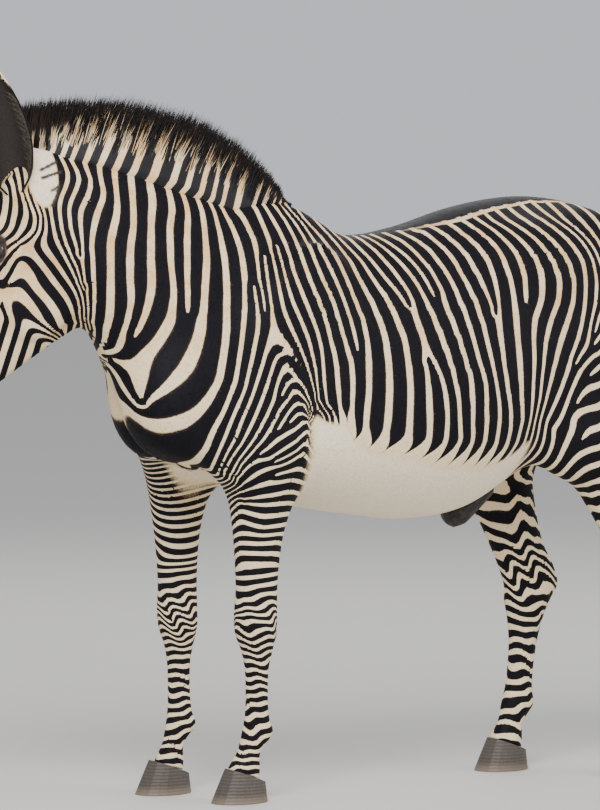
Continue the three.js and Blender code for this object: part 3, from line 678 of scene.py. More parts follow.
def bodyLines(tree):
    lines = []
    for number, free, points in whiteStripes:
        q = seenOnSkin(alongLine(points, 8), tree)
        q = q[np.isfinite(q[:, 0])]
        if len(q) > 1:
            lines.append((number, free, q))
    return lines


# The head's stripes, in the same count.
whiteStripes += [
    (0, "", (50, 208, 52, 220, 54, 230, 57, 240, 61, 248, 67, 260, 77, 280, 81, 292, 83, 303)),
    (-1, "", (40, 200, 46, 220, 46, 230, 42, 243, 48, 253, 56, 263, 62, 272, 68, 281, 75, 291, 80, 304,
     80, 316)),
    (-2, "", (35, 200, 41, 215, 40, 230, 36, 237, 28, 244, 33, 254, 40, 262, 47, 271, 54, 281, 61, 290,
     68, 301, 73, 312, 76, 323)),
    (-3, "", (25, 192, 36, 218, 34, 230, 28, 237, 20, 242, 10, 250, 3, 258, 0, 263)),
    (-2, "", (21, 247, 15, 255, 10, 263, 5, 271, 0, 277)),
    (-3, "first", (10, 284, 13, 278, 17, 270, 20, 262, 24, 268, 30, 276, 34, 286, 40, 293, 47, 300, 54,
     310, 60, 321, 65, 333)),
    (-4, "", (0, 301, 8, 295, 16, 288, 22, 294, 29, 302, 36, 312, 41, 323, 47, 334, 53, 345)),
    (-5, "", (0, 316, 8, 314, 16, 319, 22, 327, 27, 337, 33, 348)),
    (-6, "", (0, 331, 6, 333, 12, 342, 18, 352, 21, 360, 18, 372)),
    (-7, "", (0, 355, 2, 362, 3, 376)),
    (-4, "", (20, 186, 25, 200, 27, 212, 24, 222, 20, 232, 16, 238)),
    (-5, "", (13, 186, 15, 200, 14, 215, 11, 228)),
    (-6, "", (6, 190, 7, 203, 4, 218, 0, 228)),
]
# Where the dark stripes fade into the white belly.
bellyEdge = (317, 412, 323, 419, 334, 424, 346, 420, 358, 446, 375, 451, 400, 455, 415, 457, 437, 465, 464,
             466, 480, 468,
             497, 462, 512, 454, 521, 446, 531, 436, 545, 432)
backEdge = (372, 234, 401, 231, 426, 226, 450, 222, 470, 217, 490, 211, 510, 206, 530, 201, 550, 203, 570,
            214, 598, 233)
darkerSpots = ((325, 405, 50), (240, 490, 44), (148, 478, 34))  # spots where the white stripes are narrowed so that the dark stripes run together and the coat is darker
behindEar = {"at": (42, 174), "end": (49, 209), "side": (58, 168)}  # a pale patch, and short dark bars on it
earBars = (((41, 170), (56, 162)), ((42, 178), (60, 172)), ((52, 191), (59, 186)), ((59, 186), (57, 195)),
           ((57, 195), (52, 206)))
foreRings = ((740, 30.3), (610, 35), (500, 39.2), (370, 45.9), (100, 56.7), (0, 60.7))  # height in mm, count
hindRings = ((900, 48.4), (794, 51), (600, 55.4), (100, 69.3), (0, 72))
faceLines = {"ridge": ((100, 20), (200, 0), (300, -32), (450, -75), (560, -95)), "above": 21.0, "below": 33.0}
# the white part of one stripe
stripeWidth = {"body": 0.31, "neck": 0.36, "rump": 0.32, "leg": 0.43, "face": 0.5}


def onNearSide(p):  # the far side's places moved to the same places of the near side
    q = p.copy()
    q[:, 1] = np.abs(q[:, 1])
    low = (p[:, 1] > 0) * (1 - smoothStep(820, 1000, p[:, 2]))
    fore = stance["leftFore"] - stance["rightFore"]
    hind = bentLine(np.array(stance["leftHind"]) - stance["rightHind"], p[:, 2])
    q[:, 0] += low * np.where(p[:, 0] < 250, fore, hind)
    return q


def legWeights(q):
    fore = (q[:, 0] < 250) * (1 - smoothStep(570, 630, q[:, 2]))
    hind = (q[:, 0] > 400) * (1 - smoothStep(735, 800, q[:, 2]))
    return fore, hind


class Markings:  # everything the coat's colour needs at places on the body
    def __init__(self, tree):
        self.lines = bodyLines(tree)
        self.ends = stripeEnds(self.lines, tree)
        self.field = fitCount(self.lines, self.ends)
        belly = seenOnSkin(alongLine(bellyEdge, 12), tree)
        belly = belly[np.isfinite(belly[:, 0])]
        self.belly = belly[np.argsort(belly[:, 0])]
        back = seenOnSkin(alongLine(backEdge, 12), tree)
        back = back[np.isfinite(back[:, 0])]
        self.back = back[np.argsort(back[:, 0])]
        self.darkerSpots = seenOnSkin([darkerSpot[:2] for darkerSpot in darkerSpots], tree)
        self.patch = seenOnSkin([behindEar[k] for k in ("at", "end", "side")], tree)[:, [0, 2]]
        self.bars = [seenOnSkin(bar, tree)[:, [0, 2]] for bar in earBars]

    def count(self, p):
        q = onNearSide(p)
        body = self.field(q) + windings(q, self.ends).sum(0)
        h = headFrame(q)
        ridge = np.interp(h[:, 0], *zip(*faceLines["ridge"]))
        over = h[:, 1] - ridge + 0.9 * np.maximum(70 - h[:, 2], 0) * (h[:, 1] > ridge)
        face = -2 - np.where(over > 0, over / faceLines["above"], -over / faceLines["below"])
        ahead = (q[:, 0] < -550) * np.maximum(smoothStep(215, 275, h[:, 0]),
                                              smoothStep(50, 80, h[:, 1]) * (1 - smoothStep(55, 80, h[:, 2]))
                                              * smoothStep(-60, -20, h[:, 0]))
        body = body + (face - body) * ahead
        fore, hind = legWeights(q)
        side = 0.45 * (p[:, 1] > 0) * (1 - smoothStep(300, 540, q[:, 2]))
        x, y, z = q.T
        wobble = 0.26 * np.sin(x / 21 + z / 49) + 0.2 * np.sin(y / 16 - z / 31)
        wobble += 0.12 * np.sin(x / 9 + y / 11 + z / 19)
        # stripes run together at knee and hock
        joint = np.exp(-((z - np.where(x < 250, 460, 520)) / 75) ** 2)
        wobble += 0.5 * joint * np.sin(x / 12 + z / 17 - y / 14)
        wobble = wobble * np.where(x < 250, 1 - smoothStep(430, 600, z), 1) + side
        z = q[:, 2] - 0.12 * (q[:, 0] + 204)
        body = body + (np.interp(-z, *zip(*((-a, b) for a, b in foreRings))) + wobble - body) * fore
        z = q[:, 2]
        return body + (np.interp(-z, *zip(*((-a, b) for a, b in hindRings))) + wobble - body) * hind

    def width(self, p):
        q = onNearSide(p)
        w = np.full(len(q), stripeWidth["body"])
        for name, part in (
            ("neck", (1 - smoothStep(-420, -200, q[:, 0])) * smoothStep(900, 1100, q[:, 2])),
            ("rump", smoothStep(450, 700, q[:, 0])), ("leg", 1 - smoothStep(650, 900, q[:, 2])),
            ("face", 1 - smoothStep(-760, -640, q[:, 0])),
        ):
            w += (stripeWidth[name] - w) * part
        edge = np.interp(q[:, 0], self.belly[:, 0], self.belly[:, 2])  # the dark stripes come to points
        low = smoothStep(-60, 0, q[:, 0]) * (1 - smoothStep(420, 520, q[:, 0])) * (q[:, 2] > 700)
        w += (1 - w) * low * (1 - smoothStep(edge - 5, edge + 62, q[:, 2]))
        # the white stripes are narrowed at these spots, which darkens the coat there
        for darkerSpot, (*_, size) in zip(self.darkerSpots, darkerSpots):
            away = np.linalg.norm(q - darkerSpot, axis=1) / size
            w -= (w - 0.22) * (1 - smoothStep(0.5, 1.2, away))
        return w

    def tone(self, p):  # paleness, darkness, place beside the back's line, and how clear its pale edge is
        q = onNearSide(p)
        x, y, z = q.T
        edge = np.interp(x, self.belly[:, 0], self.belly[:, 2])
        edge = np.where(x < self.belly[0, 0], self.belly[0, 2] - (self.belly[0, 0] - x) * 0.9, edge)
        within = smoothStep(-150, -60, x) * (1 - smoothStep(540, 600, x))
        pale = within * (1 - smoothStep(edge - 22, edge + 14, z)) * smoothStep(640, 690, z)
        innerFore = (np.abs(x + 150) < 170) * (1 - smoothStep(60, 110, y)) * smoothStep(690, 790, z)
        innerHind = (x > 520) * (1 - smoothStep(50, 100, y)) * smoothStep(640, 780, z)
        innerHind *= 1 - smoothStep(900, 980, z)
        pale = np.maximum(pale, np.maximum(innerFore * (1 - smoothStep(820, 900, z)), innerHind))
        h = headFrame(q)
        muzzle = smoothStep(440, 492, h[:, 0] - 0.25 * np.maximum(-h[:, 1] - 60, 0)) * (x < -700)
        ahead, above = h[:, 0] - eye["at"][0], h[:, 1] - eye["at"][1]
        lid = np.hypot(ahead / 37, (above + 0.3 * ahead) / 26)
        lids = (1 - smoothStep(0.85, 1.15, lid)) * (h[:, 2] > 50) * (x < -650)
        dark = np.maximum(muzzle, lids)
        middle, ways = self.patch[0], (self.patch[1:] - self.patch[0]).T
        flat = q[:, [0, 2]]
        beside = np.linalg.norm(np.linalg.solve(ways, (flat - middle).T), axis=0)
        pale = np.maximum(pale, (1 - smoothStep(0.8, 1.08, beside)) * (y > 15))
        for a, b in self.bars:
            t = np.clip(((flat - a) @ (b - a)) / ((b - a) @ (b - a)), 0, 1)
            away = np.linalg.norm(flat - a - t[:, None] * (b - a), axis=1)
            dark = np.maximum(dark, (1 - smoothStep(2.5, 5.5, away)) * (y > 15))
        breadth = np.interp(x, self.back[:, 0], self.back[:, 1])
        breadth = np.minimum(breadth, np.interp(x, (450, 650, 850, 1040), (90, 70, 44, 22)))
        breadth *= smoothStep(-260, self.back[0, 0] + 40, x)
        spine = np.where(z > 1250, y / np.maximum(breadth, 1), 4)
        spine = np.where((x > 1040) & (z > 850), np.maximum(y / 14, 0), np.minimum(spine, 4))
        clear = smoothStep(230, 420, x) * (1 - smoothStep(1000, 1060, x))
        return np.stack([pale, dark, np.minimum(spine, 4), clear], 1)


def mark(obj, co, markings):
    p = toBody(co)
    turn = markings.count(p) * 2 * math.pi
    stripe = np.stack([np.cos(turn), np.sin(turn), markings.width(p)], 1)
    paint(obj.data, stripe=stripe, tone=markings.tone(p))


smallestFace = 0.003  # metres; stripes closer than this are not drawn sharper
largestStep = (0.32, 0.31)  # how much of a stripe one edge may cross, after each round


def refine(markings):  # smaller faces where the stripes are close
    bm = bmesh.new()
    bm.from_mesh(skin.data)
    for step in largestStep:
        long = [e for e in bm.edges if e.calc_length() > smallestFace]
        count = markings.count(toBody([v.co for v in bm.verts]))
        ends = np.array([[v.index for v in e.verts] for e in long])
        half = markings.count(toBody([(e.verts[0].co + e.verts[1].co) / 2 for e in long]))
        change = np.abs((half[:, None] - count[ends] + 0.5) % 1 - 0.5).sum(1)
        edges = [e for e, amount in zip(long, change) if amount > step]
        bmesh.ops.subdivide_edges(bm, edges=edges, cuts=1, use_grid_fill=True)
        bm.verts.index_update()
    made = [v for v in bm.verts if v.index >= len(skin.data.vertices)]
    for v, co in zip(made, toScene(settle(skinField, toBody([v.co for v in made])))):
        v.co = co
    bmesh.ops.triangulate(bm, faces=[f for f in bm.faces if len(f.verts) > 4])
    bm.normal_update()
    skin.data = meshFrom(bm, "skin")
    smoothShaded(skin.data)


markings = Markings(BVHTree.FromObject(skin, bpy.context.evaluated_depsgraph_get()))
refine(markings)
print("skin refined,", sum(len(f.vertices) - 2 for f in skin.data.polygons), "triangles")
mark(skin, vertexArray(skin.data), markings)
print("markings placed", len(markings.lines), "stripes,", len(markings.ends), "ends")


def linear(hexColour):
    parts = [int(hexColour[i:i + 2], 16) / 255 for i in (1, 3, 5)]
    return (*[c / 12.92 if c <= 0.04045 else ((c + 0.055) / 1.055) ** 2.4 for c in parts], 1)


# what a name's last part sets
modeOf = {"Math": "operation", "MapRange": "interpolation_type", "Mix": "data_type"}


def setInputs(tree, node, inputs):  # values and links, by the inputs' names or in their order
    shown = [socket for socket in node.inputs if socket.enabled]
    for key, value in inputs.items():
        socket = node.inputs[key] if isinstance(key, str) else shown[key]
        if isinstance(value, bpy.types.NodeSocket):
            tree.links.new(value, socket)
        else:
            socket.default_value = value


# a node with its settings and links; returns an output of it
def add(tree, kind, *inputs, give=0, **settings):
    kind, _, mode = kind.partition(".")
    node = tree.nodes.new(kind if kind.startswith("Node") else "ShaderNode" + kind)
    if mode:
        settings[modeOf[kind]] = mode
    for key, value in settings.items():
        setattr(node, key, value)
    setInputs(tree, node, inputs[0] if inputs and isinstance(inputs[0], dict) else dict(enumerate(inputs)))
    shown = [socket for socket in node.outputs if socket.enabled]
    if isinstance(give, str):
        return shown if give == "all" else node.outputs[give]
    return shown[give] if shown else None


def newMaterial(name):  # a material, and the functions that add a node to it and set its shader
    material = bpy.data.materials.new(name)
    material.use_nodes = True
    tree = material.node_tree
    return material, partial(add, tree), partial(setInputs, tree, tree.nodes["Principled BSDF"])


zebraColours = {
    "white": "#F6E0B8", "cream": "#EFC48E", "belly": "#F5E6CC", "black": "#141216", "brown": "#4A3222",
    "muzzle": "#3B3634", "blueBlack": "#1A191E",
}
maneColours = {"black": "#131012", "brown": "#4A2F1B"}


def coatColour():  # zebra hair: the markings, for the skin and every tuft on it
    group = bpy.data.node_groups.new("zebra markings", "ShaderNodeTree")
    group.interface.new_socket("Colour", in_out="OUTPUT", socket_type="NodeSocketColor")
    group.interface.new_socket("Roughness", in_out="OUTPUT", socket_type="NodeSocketFloat")
    node = partial(add, group)
    place = node("TexCoord", give="Object")
    c, s, width = node("SeparateXYZ", node("Attribute", give="Vector", attribute_name="stripe"), give="all")
    tone, _, _, clear = node("Attribute", give="all", attribute_name="tone")
    pale, dark, spine = node("SeparateColor", tone, give="all")
    ragged = node("TexNoise", {"Vector": place, "Scale": 260.0, "Detail": 3.0})  # about 4 mm, between hairs
    broad = node("TexNoise", {"Vector": place, "Scale": 22.0, "Detail": 2.0})
    uneven = node("Math.SUBTRACT", ragged, 0.5)
    # How far the nearest white stripe's middle is, as a part of one stripe's spacing.
    away = node("Math.ABSOLUTE", node("Math.DIVIDE", node("Math.ARCTAN2", s, c), 2 * math.pi))
    away = node("Math.ADD", away, node("Math.MULTIPLY", uneven, 0.05))
    away = node("Math.ADD", away, node("Math.MULTIPLY", node("Math.SUBTRACT", broad, 0.5), 0.04))
    strength = node("Math.ADD", node("Math.MULTIPLY", c, c), node("Math.MULTIPLY", s, s))
    strength = node("Math.SQRT", strength)
    away = node("Math.ADD", away, node("MapRange.SMOOTHSTEP", strength, 0.1, 0.5, 0.3, 0.0))
    within = node("Math.SUBTRACT", node("Math.MULTIPLY", width, 0.5), away)
    white = node("MapRange.SMOOTHSTEP", within, -0.022, 0.022)
    edge = node("MapRange.SMOOTHSTEP", within, -0.09, 0.0)
    # The black line along the spine, with its white border.
    line = node("Math.ADD", spine, node("Math.MULTIPLY", uneven, 0.06))
    border = node("MapRange.SMOOTHSTEP", line, 1.07, 1.11, 1.0, 0.0)
    border = node("Math.MULTIPLY", node("MapRange.SMOOTHSTEP", line, 0.9, 0.93), border)
    white = node("Math.MAXIMUM", white, node("Math.MULTIPLY", clear, border))
    clearOfLine = node("MapRange.SMOOTHSTEP", line, 0.84, 0.9)
    white = node("Math.MULTIPLY", white, clearOfLine)
    edge = node("Math.MULTIPLY", edge, clearOfLine)
    paleHair = node("Math.ADD", pale, node("Math.MULTIPLY", ragged, 0.3))
    white = node("Math.MAXIMUM", white, node("MapRange.SMOOTHSTEP", paleHair, 0.45, 0.9))
    shades = {name: linear(value) for name, value in zebraColours.items()}
    high = node("MapRange.SMOOTHSTEP", node("SeparateXYZ", place, give=2), 0.9, 1.4)
    warm = node("Math.MULTIPLY", high, node("MapRange.SMOOTHSTEP", broad, 0.3, 0.7))
    light = node("Mix.RGBA", warm, shades["white"], shades["cream"])
    light = node("Mix.RGBA", node("MapRange.SMOOTHSTEP", pale, 0.6, 1.0), light, shades["belly"])
    night = node("Mix.RGBA", broad, shades["black"], shades["blueBlack"])
    night = node("Mix.RGBA", node("Math.MULTIPLY", edge, 0.45), night, shades["brown"])
    night = node("Mix.RGBA", node("MapRange.SMOOTHSTEP", pale, 0.15, 0.6), night, shades["brown"])
    coat = node("Mix.RGBA", white, night, light)
    coat = node("Mix.RGBA", dark, coat, shades["muzzle"])
    shade = node("MapRange.SMOOTHSTEP", ragged, 0.25, 0.75, 0.86, 1.06)
    coat = node("Mix.RGBA", 1.0, coat, node("CombineXYZ", shade, shade, shade), blend_type="MULTIPLY")
    rough = node("MapRange.SMOOTHSTEP", white, 0.0, 1.0, 0.52, 0.62)
    node("NodeGroupOutput", {"Colour": coat, "Roughness": rough})
    return group


def coatMaterial(markingGroup):  # short flat hair: dull, with hair by hair relief
    material, node, setShader = newMaterial("short zebra hair")
    colour, rough = node("Group", give="all", node_tree=markingGroup)
    place = node("TexCoord", give="Object")
    grain = node("Mapping", {"Vector": place, "Scale": (260.0, 260.0, 60.0)})
    hair = node("TexNoise", {"Vector": grain, "Scale": 1.6, "Detail": 4.0})
    relief = node("Bump", {"Strength": 0.25, "Distance": 0.0008, "Height": hair})
    setShader({"Base Color": colour, "Roughness": rough, "Specular IOR Level": 0.06, "Normal": relief})
    return material


# long stiff hair: striped from its roots, dark and a little brown at the tips
def maneMaterial(markingGroup):
    material, node, setShader = newMaterial("stiff mane hair")
    striped = node("Group", give="Colour", node_tree=markingGroup)
    hair = node("Attribute", give="Vector", attribute_name="hair")
    along, chance, early = node("SeparateXYZ", hair, give="all")
    broad = node("TexNoise", {"Vector": node("TexCoord", give="Object"), "Scale": 14.0, "Detail": 1.0})
    start = node("Math.ADD", 0.46, node("Math.MULTIPLY", chance, 0.3))
    start = node("Math.SUBTRACT", start, early)
    start = node("Math.ADD", start, node("Math.MULTIPLY", node("Math.SUBTRACT", broad, 0.5), 0.35))
    tip = node("MapRange.SMOOTHSTEP", node("Math.SUBTRACT", along, start), -0.1, 0.12)
    brown = node("Math.MULTIPLY", node("MapRange.SMOOTHSTEP", chance, 0.55, 1.0), 0.55)
    night = node("Mix.RGBA", brown, linear(maneColours["black"]), linear(maneColours["brown"]))
    colour = node("Mix.RGBA", tip, striped, night)
    setShader({"Base Color": colour, "Roughness": 0.55, "Specular IOR Level": 0.25})
    return material


def skinMaterial():  # bare dark skin: slightly moist looking, fine pores and creases about a millimetre apart
    material, node, setShader = newMaterial("bare dark skin")
    place = node("TexCoord", give="Object")
    pores = node("TexVoronoi", {"Vector": place, "Scale": 700.0})
    mottle = node("TexNoise", {"Vector": place, "Scale": 60.0, "Detail": 3.0})
    mottle = node("MapRange.SMOOTHSTEP", mottle, 0.35, 0.7)
    colour = node("Mix.RGBA", mottle, linear("#1D1A19"), linear("#3A3430"))
    relief = node("Bump", {"Strength": 0.3, "Distance": 0.0006, "Height": pores})
    setShader({"Base Color": colour, "Normal": relief, "Roughness": 0.5, "Specular IOR Level": 0.3})
    return material


def hornMaterial():  # hoof horn: dull, ringed every few millimetres, fibres down it, paler at the ground
    material, node, setShader = newMaterial("hoof horn")
    place = node("TexCoord", give="Object")
    rings = node("TexWave", {"Vector": place, "Scale": 38.0, "Distortion": 1.6, "Detail": 2.0,
                             "Detail Scale": 2.0}, give="Fac", bands_direction="Z")
    fibres = node("Mapping", {"Vector": place, "Scale": (420.0, 420.0, 14.0)})
    fibres = node("TexNoise", {"Vector": fibres, "Scale": 1.0, "Detail": 3.0})
    ground = node("MapRange.SMOOTHSTEP", node("SeparateXYZ", place, give=2), 0.028, 0.004, 0.0, 0.55)
    colour = node("Mix.RGBA", fibres, linear("#2B2724"), linear("#544A42"))
    colour = node("Mix.RGBA", node("Math.MULTIPLY", rings, 0.25), colour, linear("#6B5F54"))
    colour = node("Mix.RGBA", ground, colour, linear("#8A7A66"))
    relief = node("Math.ADD", rings, node("Math.MULTIPLY", fibres, 0.6))
    relief = node("Bump", {"Strength": 0.5, "Distance": 0.0012, "Height": relief})
    setShader({"Base Color": colour, "Normal": relief, "Roughness": 0.55})
    return material


def eyeMaterial():  # a wet dark brown eye with a long level pupil
    material, node, setShader = newMaterial("wet eye")
    gaze = node("Attribute", give="Vector", attribute_name="gaze")
    x, y, _ = node("SeparateXYZ", gaze, give="all")
    inPupil, inIris = (node("Math.ADD", *(
        node("Math.POWER", node("Math.DIVIDE", value, size), 2.0) for value, size in zip((x, y), sizes)
    )) for sizes in ((0.36, 0.2), (1.0, 1.0)))
    streaks = node("TexNoise", {"Vector": gaze, "Scale": 9.0, "Detail": 4.0})
    colour = node("Mix.RGBA", streaks, linear("#24150D"), linear("#4B2D18"))
    pupil = node("MapRange.SMOOTHSTEP", inPupil, 0.8, 1.25)
    colour = node("Mix.RGBA", pupil, linear("#050507"), colour)
    iris = node("MapRange.SMOOTHSTEP", node("Math.SQRT", inIris), 0.66, 0.76)
    colour = node("Mix.RGBA", iris, colour, linear("#1A120E"))
    corner = node("MapRange.SMOOTHSTEP", node("Math.MULTIPLY", x, -1.0), 0.8, 0.95)
    colour = node("Mix.RGBA", corner, colour, linear("#5B4A40"))
    setShader({"Base Color": colour, "Roughness": 0.08, "Coat Weight": 1.0, "Coat Roughness": 0.02})
    return material


def earBackColour(node, up, edge, ragged):  # white root and tip, black between, black rim
    height = node("Math.ADD", up, ragged)
    low, high = (node("Math.MULTIPLY", node("MapRange.SMOOTHSTEP", height, start, start + soft),
                      node("MapRange.SMOOTHSTEP", height, end - soft, end, 1.0, 0.0))
                 for start, end, soft in ((0.17, 0.27, 0.03), (0.42, 0.9, 0.04)))
    rim = node("MapRange.SMOOTHSTEP", edge, 0.86, 0.92)
    rim = node("Math.MULTIPLY", rim, node("MapRange.SMOOTHSTEP", up, 0.9, 0.95, 1.0, 0.0))
    black = node("Math.MAXIMUM", node("Math.MAXIMUM", high, low), rim)
    return node("Mix.RGBA", black, linear(zebraColours["white"]), linear(zebraColours["black"]))


def earMaterial(name, layer, part):  # the fur of its back, the dark skin inside it, or the hairs on both
    material, node, setShader = newMaterial(name)
    values = node("Attribute", give="Vector", attribute_name=layer)
    up, edge, kind = node("SeparateXYZ", values, give="all")
    place = node("TexCoord", give="Object")
    noise = node("TexNoise", {"Vector": place, "Scale": 240.0, "Detail": 3.0})
    if part == "inside":
        colour = node("Mix.RGBA", noise, linear("#1C1918"), linear("#3B3532"))
        colour = node("Mix.RGBA", node("MapRange.SMOOTHSTEP", edge, 0.8, 0.95), colour, linear("#161315"))
    else:
        ragged = node("Math.MULTIPLY", node("Math.SUBTRACT", noise, 0.5), 0.05)
        colour = earBackColour(node, up, edge, ragged)
    if part == "hair":  # kind is 0 on the back, 1 inside and 2 on the rim
        pale = node("Mix.RGBA", noise, linear("#3F3935"), linear("#857A6D"))
        colour = node("Mix.RGBA", node("MapRange.SMOOTHSTEP", kind, 0.4, 0.6), colour, pale)
        rim = node("MapRange.SMOOTHSTEP", up, 0.86, 0.93)
        rim = node("Mix.RGBA", rim, linear("#1B1716"), linear(zebraColours["white"]))
        colour = node("Mix.RGBA", node("MapRange.SMOOTHSTEP", kind, 1.4, 1.6), colour, rim)
    relief = node("Bump", {"Strength": 0.3, "Distance": 0.0008, "Height": noise})
    setShader({"Base Color": colour, "Normal": relief, "Roughness": 0.65, "Specular IOR Level": 0.2})
    return material


markingGroup = coatColour()
zebraHair = coatMaterial(markingGroup)
skin.data.materials.append(zebraHair)
maneHair = maneMaterial(markingGroup)
darkSkin = skinMaterial()
hoofHorn = hornMaterial()
eyeGloss = eyeMaterial()
earBack = earMaterial("white and black ear fur", "ear", "back")
earInside = earMaterial("dark inner ear skin", "ear", "inside")
earHair = earMaterial("ear hair", "stripe", "hair")
print("materials made")

# corners and triangles of a lock 1 long and 2 wide at its root
def lockShape(sides, heights=(), fullness=1.0):
    bm = bmesh.new()
    bmesh.ops.create_cone(bm, cap_ends=True, segments=sides, radius1=1, radius2=0, depth=1)
    bmesh.ops.translate(bm, verts=bm.verts, vec=(0, 0, 0.5))
    bmesh.ops.remove_doubles(bm, verts=bm.verts, dist=1e-4)
    for height in heights:
        everything = bm.verts[:] + bm.edges[:] + bm.faces[:]
        bmesh.ops.bisect_plane(bm, geom=everything, plane_co=(0, 0, height), plane_no=(0, 0, 1))
    for v in bm.verts:
        if 0.01 < v.co.z < 0.99:
            wide = (1 - v.co.z**2) ** fullness / (1 - v.co.z)
            v.co.x, v.co.y = v.co.x * wide, v.co.y * wide
    bmesh.ops.triangulate(bm, faces=bm.faces)
    bmesh.ops.recalc_face_normals(bm, faces=bm.faces)
    bm.verts.index_update()
    corners = np.array([v.co[:] for v in bm.verts])
    faces = np.array([[v.index for v in f.verts] for f in bm.faces])
    bm.free()
    return corners, faces


darkStripe, plainTone = (-1.0, 0.0, 0.0), (0.0, 0.0, 4.0, 0.0)  # for hair that has no stripes


def unit(v):
    return v / np.maximum(np.linalg.norm(v, axis=1), 1e-9)[:, None]


def column(values, n):
    return np.broadcast_to(np.asarray(values, float), (n,))[:, None, None]


# Roots, ways, normals and bends are in scene metres; stripe, tone and patch are the values at each root.
def makeLocks(name, shape, roots, ways, normals, length, width, thickness, bend, stripe, tone, patch,
              chance, early=0.0):
    corners, faces = shape
    n, k = len(roots), len(corners)
    ways = unit(ways)
    side = unit(np.cross(ways, normals))
    lift = np.cross(side, ways)
    t = corners[None, :, 2, None]
    place = roots[:, None] + ways[:, None] * t * column(length, n) + bend[:, None] * t**2
    place = place + side[:, None] * corners[None, :, 0, None] * column(width, n) / 2
    place = place + lift[:, None] * corners[None, :, 1, None] * column(thickness, n) / 2
    mesh = bpy.data.meshes.new(name)
    mesh.vertices.add(n * k)
    mesh.vertices.foreach_set("co", place.ravel())
    index = (faces[None] + np.arange(n)[:, None, None] * k).ravel()
    mesh.loops.add(len(index))
    mesh.loops.foreach_set("vertex_index", index.astype(np.int32))
    mesh.polygons.add(len(index) // 3)
    mesh.polygons.foreach_set("loop_start", np.arange(0, len(index), 3, dtype=np.int32))
    smoothShaded(mesh)
    mesh.update(calc_edges=True)
    uv = mesh.uv_layers.new(name="OFBake")
    small = np.stack([corners[:, 0] * 0.0012, (corners[:, 2] - 0.5) * 0.003 + corners[:, 1] * 0.0006], 1)
    spot = (np.clip(patch, 0.002, 0.998)[:, None] + small[None]).reshape(-1, 2)
    uv.data.foreach_set("uv", spot[index].ravel())
    early = np.broadcast_to(early, (n,))
    hair = np.stack([np.tile(corners[:, 2], n), np.repeat(chance, k), np.repeat(early, k)], 1)
    stripe, tone = (np.repeat(np.broadcast_to(v, (n, np.shape(v)[-1])), k, axis=0) for v in (stripe, tone))
    paint(mesh, stripe=stripe, tone=tone, hair=hair)
    piece = newObject(name, mesh)
    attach(piece, "root")
    print(name, n, "locks,", len(index) // 3, "triangles")
    return piece


def turnedWays(p, ways):  # ways given for the straight neck, at body places p
    turn = np.clip(neckTurn["start"] - p[:, 0], 0, neckTurn["length"]) / turnRadius
    c, s = np.cos(turn), np.sin(turn)
    return np.stack([ways[:, 0] * c + ways[:, 1] * s, -ways[:, 0] * s + ways[:, 1] * c, ways[:, 2]], 1)


coat = {
    "seed": 7,
    "pieces": {"coatTrunkNear": 56000, "coatTrunkFar": 56000, "coatNeck": 50000, "coatHead": 46000,
               "coatLegs": 60000},
    "length": {"body": 9.0, "leg": 6.0, "face": 4.0},  # mm
    "width": {"body": 1.2, "leg": 0.9, "face": 0.7},
    "lift": 10.0,  # degrees off the skin
}


def neckFrame(p):
    return inAxes(neck["axes"], neck["origin"], p)


def regionOf(p):  # 0 and 1: the trunk's two sides, 2: neck, 3: head, 4: legs
    s, _ = neckFrame(p)
    h = headFrame(p)
    region = (p[:, 1] > 0).astype(int)
    region[(s > 60) & (p[:, 0] < -150)] = 2
    region[(p[:, 0] < -560) & (h[:, 0] > -75)] = 3
    region[(p[:, 2] < 720) & (np.abs(p[:, 1]) > 30) & (p[:, 0] > -420)] = 4
    return region


def unwrapped(p, region):  # each region rolled out along its own length and round it
    s, up = neckFrame(p)
    h = headFrame(p)
    u, v = (p[:, 0] + 480) / 1600, np.arctan2(p[:, 1], p[:, 2] - 1110) / (2 * math.pi) + 0.5
    v = np.where(region == 0, -2 * (v - 0.5), 2 * (v - 0.5)) * (region < 2) + v * (region >= 2)
    u = np.where(region == 2, (s + 140) / 1000, u)
    v = np.where(region == 2, np.arctan2(p[:, 1], up + 60) / (2 * math.pi) + 0.5, v)
    u = np.where(region == 3, (h[:, 0] + 120) / 760, u)
    v = np.where(region == 3, np.arctan2(p[:, 1], h[:, 1] + 20) / (2 * math.pi) + 0.5, v)
    z = p[:, 2]
    for k, leg in enumerate(("leftFore", "rightFore", "leftHind", "rightHind")):
        hind, side = leg.endswith("Hind"), (-1, 1)[k % 2]
        middle = bentLine(stance[leg], z) if hind else stance[leg]
        mine = (region == 4) & (np.sign(p[:, 1]) == side) & ((p[:, 0] > 330) == hind)
        across = p[:, 1] - side * (stance["hindSpread" if hind else "foreSpread"] - 12)
        about = np.arctan2(across, p[:, 0] - middle) / (2 * math.pi) + 0.5
        u, v = np.where(mine, (k + 0.02 + 0.96 * about) / 4, u), np.where(mine, (z - 60) / 700, v)
    return np.stack([u, v], 1)


def lieOfCoat(p, region):
    h = headFrame(p)
    (ax, az) = headAxes[0]
    ways = np.tile((0.86, 0.0, -0.5), (len(p), 1))
    ways[region == 2] = (0.62, 0, -0.78)
    ways[region == 4] = (0.1, 0, -1)
    cheek = smoothStep(-60, 60, h[:, 1])[:, None]
    face = np.array([ax, 0, az]) * cheek + np.array([0.35, 0, -0.94]) * (1 - cheek)
    return np.where((region == 3)[:, None], face, ways)


def skinTriangles():
    mesh = skin.data
    mesh.calc_loop_triangles()
    corners = np.empty(len(mesh.loop_triangles) * 3, np.int32)
    mesh.loop_triangles.foreach_get("vertices", corners)
    return corners.reshape(-1, 3)


